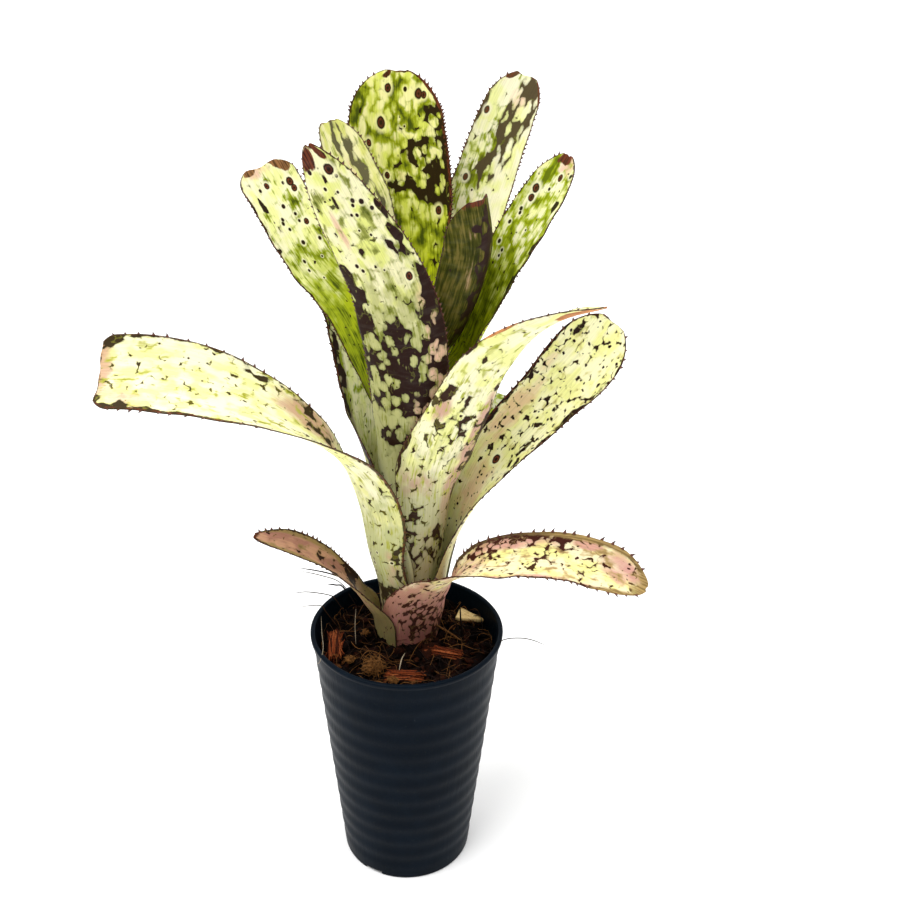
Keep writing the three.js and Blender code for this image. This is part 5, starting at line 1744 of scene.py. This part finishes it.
def place_camera():
    """The camera looks down at the photo's angle; its lens is 1200 px long for a picture 900 px wide."""
    pitch, roll, yaw = (math.radians(angle) for angle in (CAMERA_PITCH, CAMERA_ROLL, CAMERA_YAW))
    ahead = np.array([math.sin(yaw) * math.cos(pitch), math.cos(yaw) * math.cos(pitch), -math.sin(pitch)])
    level = unit(np.cross(ahead, [0, 0, 1]))
    upright = np.cross(level, ahead)
    right = level * math.cos(roll) + upright * math.sin(roll)
    up = upright * math.cos(roll) - level * math.sin(roll)
    lens = bpy.data.cameras.new("camera")
    lens.lens = CAMERA_LENS
    lens.sensor_width = CAMERA_SENSOR
    camera = new_object("camera", lens)
    turn = Matrix((right, up, -ahead)).transposed().to_4x4()
    camera.matrix_world = Matrix.Translation(np.array(CAMERA_PLACE) * MM) @ turn
    bpy.context.scene.camera = camera


def soft_sun(name, strength):
    """A sun with a wide disc, turned so that its light travels in the direction that SUNS gives."""
    direction, disc, share = SUNS[name]
    data = bpy.data.lights.new(name, "SUN")
    data.angle = math.radians(disc)
    data.energy = strength * share
    back = -unit(np.array(direction))
    across = unit(np.cross([0.0, 1.0, 0.02], back))
    turn = Matrix((across, np.cross(back, across), back)).transposed().to_4x4()
    new_object(name, data).matrix_world = turn


def set_sky(settings):
    """Even light from all round, weaker from the viewer's side: its strength follows the direction's Y."""
    world = bpy.data.worlds.new("sky")
    world.use_nodes = True
    wires = Wires(world.node_tree)
    direction = wires.add("TexCoord", {}, "Generated")
    away = wires.add("SeparateXYZ", {0: direction}, "Y")
    power = wires.times(wires.step(away, -0.9, 0.2, settings.front_share, 1.0), settings.sky)
    background = world.node_tree.nodes["Background"]
    wires.feed(background.inputs["Strength"], power)
    wires.feed(background.inputs["Color"], (1.0, 1.0, 1.0))
    bpy.context.scene.world = world


def set_stage(settings):
    """A wide pale floor, light from all round, a soft sun from the front left and one from above."""
    corners = [[x * FLOOR_REACH, y * FLOOR_REACH, 0] for x, y in ((-1, -1), (1, -1), (1, 1), (-1, 1))]
    paint = Paint("floor")
    tone = paint.noise(paint.object_place(), 0.01)
    colour = paint.cover(settings.floor_tone, FLOOR_SHADE, tone, 0.3, 0.7, 0.0, 0.3)
    floor = make_mesh("floor", corners, [[0, 1, 2, 3]], [paint.surface(colour, 0.85)], smooth=False)
    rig.stage(floor)
    set_sky(settings)
    for name in SUNS:
        soft_sun(name, settings.key)
    bpy.context.scene.view_settings.view_transform = "Standard"
    place_camera()


class BillbergiaSettings(bpy.types.PropertyGroup):
    """All that a user would change."""

    leaf: bpy.props.PointerProperty(type=BillbergiaLeafSettings)
    pot: bpy.props.PointerProperty(type=BillbergiaPotSettings)
    mix: bpy.props.PointerProperty(type=BillbergiaMixSettings)
    stage: bpy.props.PointerProperty(type=BillbergiaStageSettings)


class BILLBERGIA_OT_stage(bpy.types.Operator):
    """Lay the floor, set the lights and place the camera"""

    bl_idname = "billbergia.stage"
    bl_label = "Stage"

    def execute(self, context):
        set_stage(context.scene.billbergia.stage)
        return {"FINISHED"}


class BILLBERGIA_OT_pot(bpy.types.Operator):
    """Make the pot with its ripples, lip and drain slots"""

    bl_idname = "billbergia.pot"
    bl_label = "Pot"

    def execute(self, context):
        make_pot(context.scene.billbergia.pot)
        return {"FINISHED"}


class BILLBERGIA_OT_mix(bpy.types.Operator):
    """Make the bark mix, its lumps and its fibres"""

    bl_idname = "billbergia.mix"
    bl_label = "Bark mix"

    def execute(self, context):
        settings = context.scene.billbergia.mix
        make_bed(settings)
        make_lumps(settings)
        make_fibres(settings)
        return {"FINISHED"}


class BILLBERGIA_OT_chips(bpy.types.Operator):
    """Make the loose husk chips and the pale wood chip"""

    bl_idname = "billbergia.chips"
    bl_label = "Chips"

    def execute(self, context):
        make_husks()
        make_wood()
        return {"FINISHED"}


class BILLBERGIA_OT_stem(bpy.types.Operator):
    """Give the hidden stem its finish"""

    bl_idname = "billbergia.stem"
    bl_label = "Stem"

    def execute(self, context):
        dress_stem()
        return {"FINISHED"}


class BILLBERGIA_OT_leaves(bpy.types.Operator):
    """Make the fourteen leaves with their spines"""

    bl_idname = "billbergia.leaves"
    bl_label = "Leaves"

    def execute(self, context):
        for order, leaf in enumerate(LEAVES):
            make_leaf(Blade(leaf, order), context.scene.billbergia.leaf)
        return {"FINISHED"}


class BILLBERGIA_PT_panel(bpy.types.Panel):
    """Sidebar panel that lists the settings and the operators"""

    bl_idname = "BILLBERGIA_PT_panel"
    bl_label = "Billbergia"
    bl_space_type = "VIEW_3D"
    bl_region_type = "UI"
    bl_category = "Billbergia"

    def draw(self, context):
        """A box for each operator, with the settings that it reads."""
        settings = context.scene.billbergia
        for operator, group in (
            ("billbergia.stage", settings.stage), ("billbergia.pot", settings.pot),
            ("billbergia.mix", settings.mix), ("billbergia.chips", None), ("billbergia.stem", None),
            ("billbergia.leaves", settings.leaf),
        ):
            box = self.layout.box()
            box.operator(operator)
            for name in (group.bl_rna.properties.keys() if group else ()):
                if name not in ("rna_type", "name"):
                    box.prop(group, name)


CLASSES = (
    BillbergiaLeafSettings, BillbergiaPotSettings, BillbergiaMixSettings, BillbergiaStageSettings,
    BillbergiaSettings, BILLBERGIA_OT_stage, BILLBERGIA_OT_pot, BILLBERGIA_OT_mix, BILLBERGIA_OT_chips,
    BILLBERGIA_OT_stem, BILLBERGIA_OT_leaves, BILLBERGIA_PT_panel,
)


def register():
    """Adds the classes, and the settings to the scene."""
    for one in CLASSES:
        bpy.utils.register_class(one)
    bpy.types.Scene.billbergia = bpy.props.PointerProperty(type=BillbergiaSettings)


def unregister():
    """Takes the settings and the classes away again, the last one first."""
    del bpy.types.Scene.billbergia
    for one in reversed(CLASSES):
        bpy.utils.unregister_class(one)


def main():
    """Builds everything and writes the model's box and the visual model's box."""
    register()
    bpy.ops.billbergia.stage()
    bpy.ops.billbergia.pot()
    bpy.ops.billbergia.mix()
    bpy.ops.billbergia.chips()
    bpy.ops.billbergia.stem()
    bpy.ops.billbergia.leaves()
    low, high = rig.bounds()
    sizes = {"cad": [list(CAD_LOW), list(CAD_HIGH)], "visual": [list(low), list(high)]}
    with open("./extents.json", "w", encoding="utf-8") as file:
        json.dump(sizes, file)


if __name__ == "__main__":
    main()
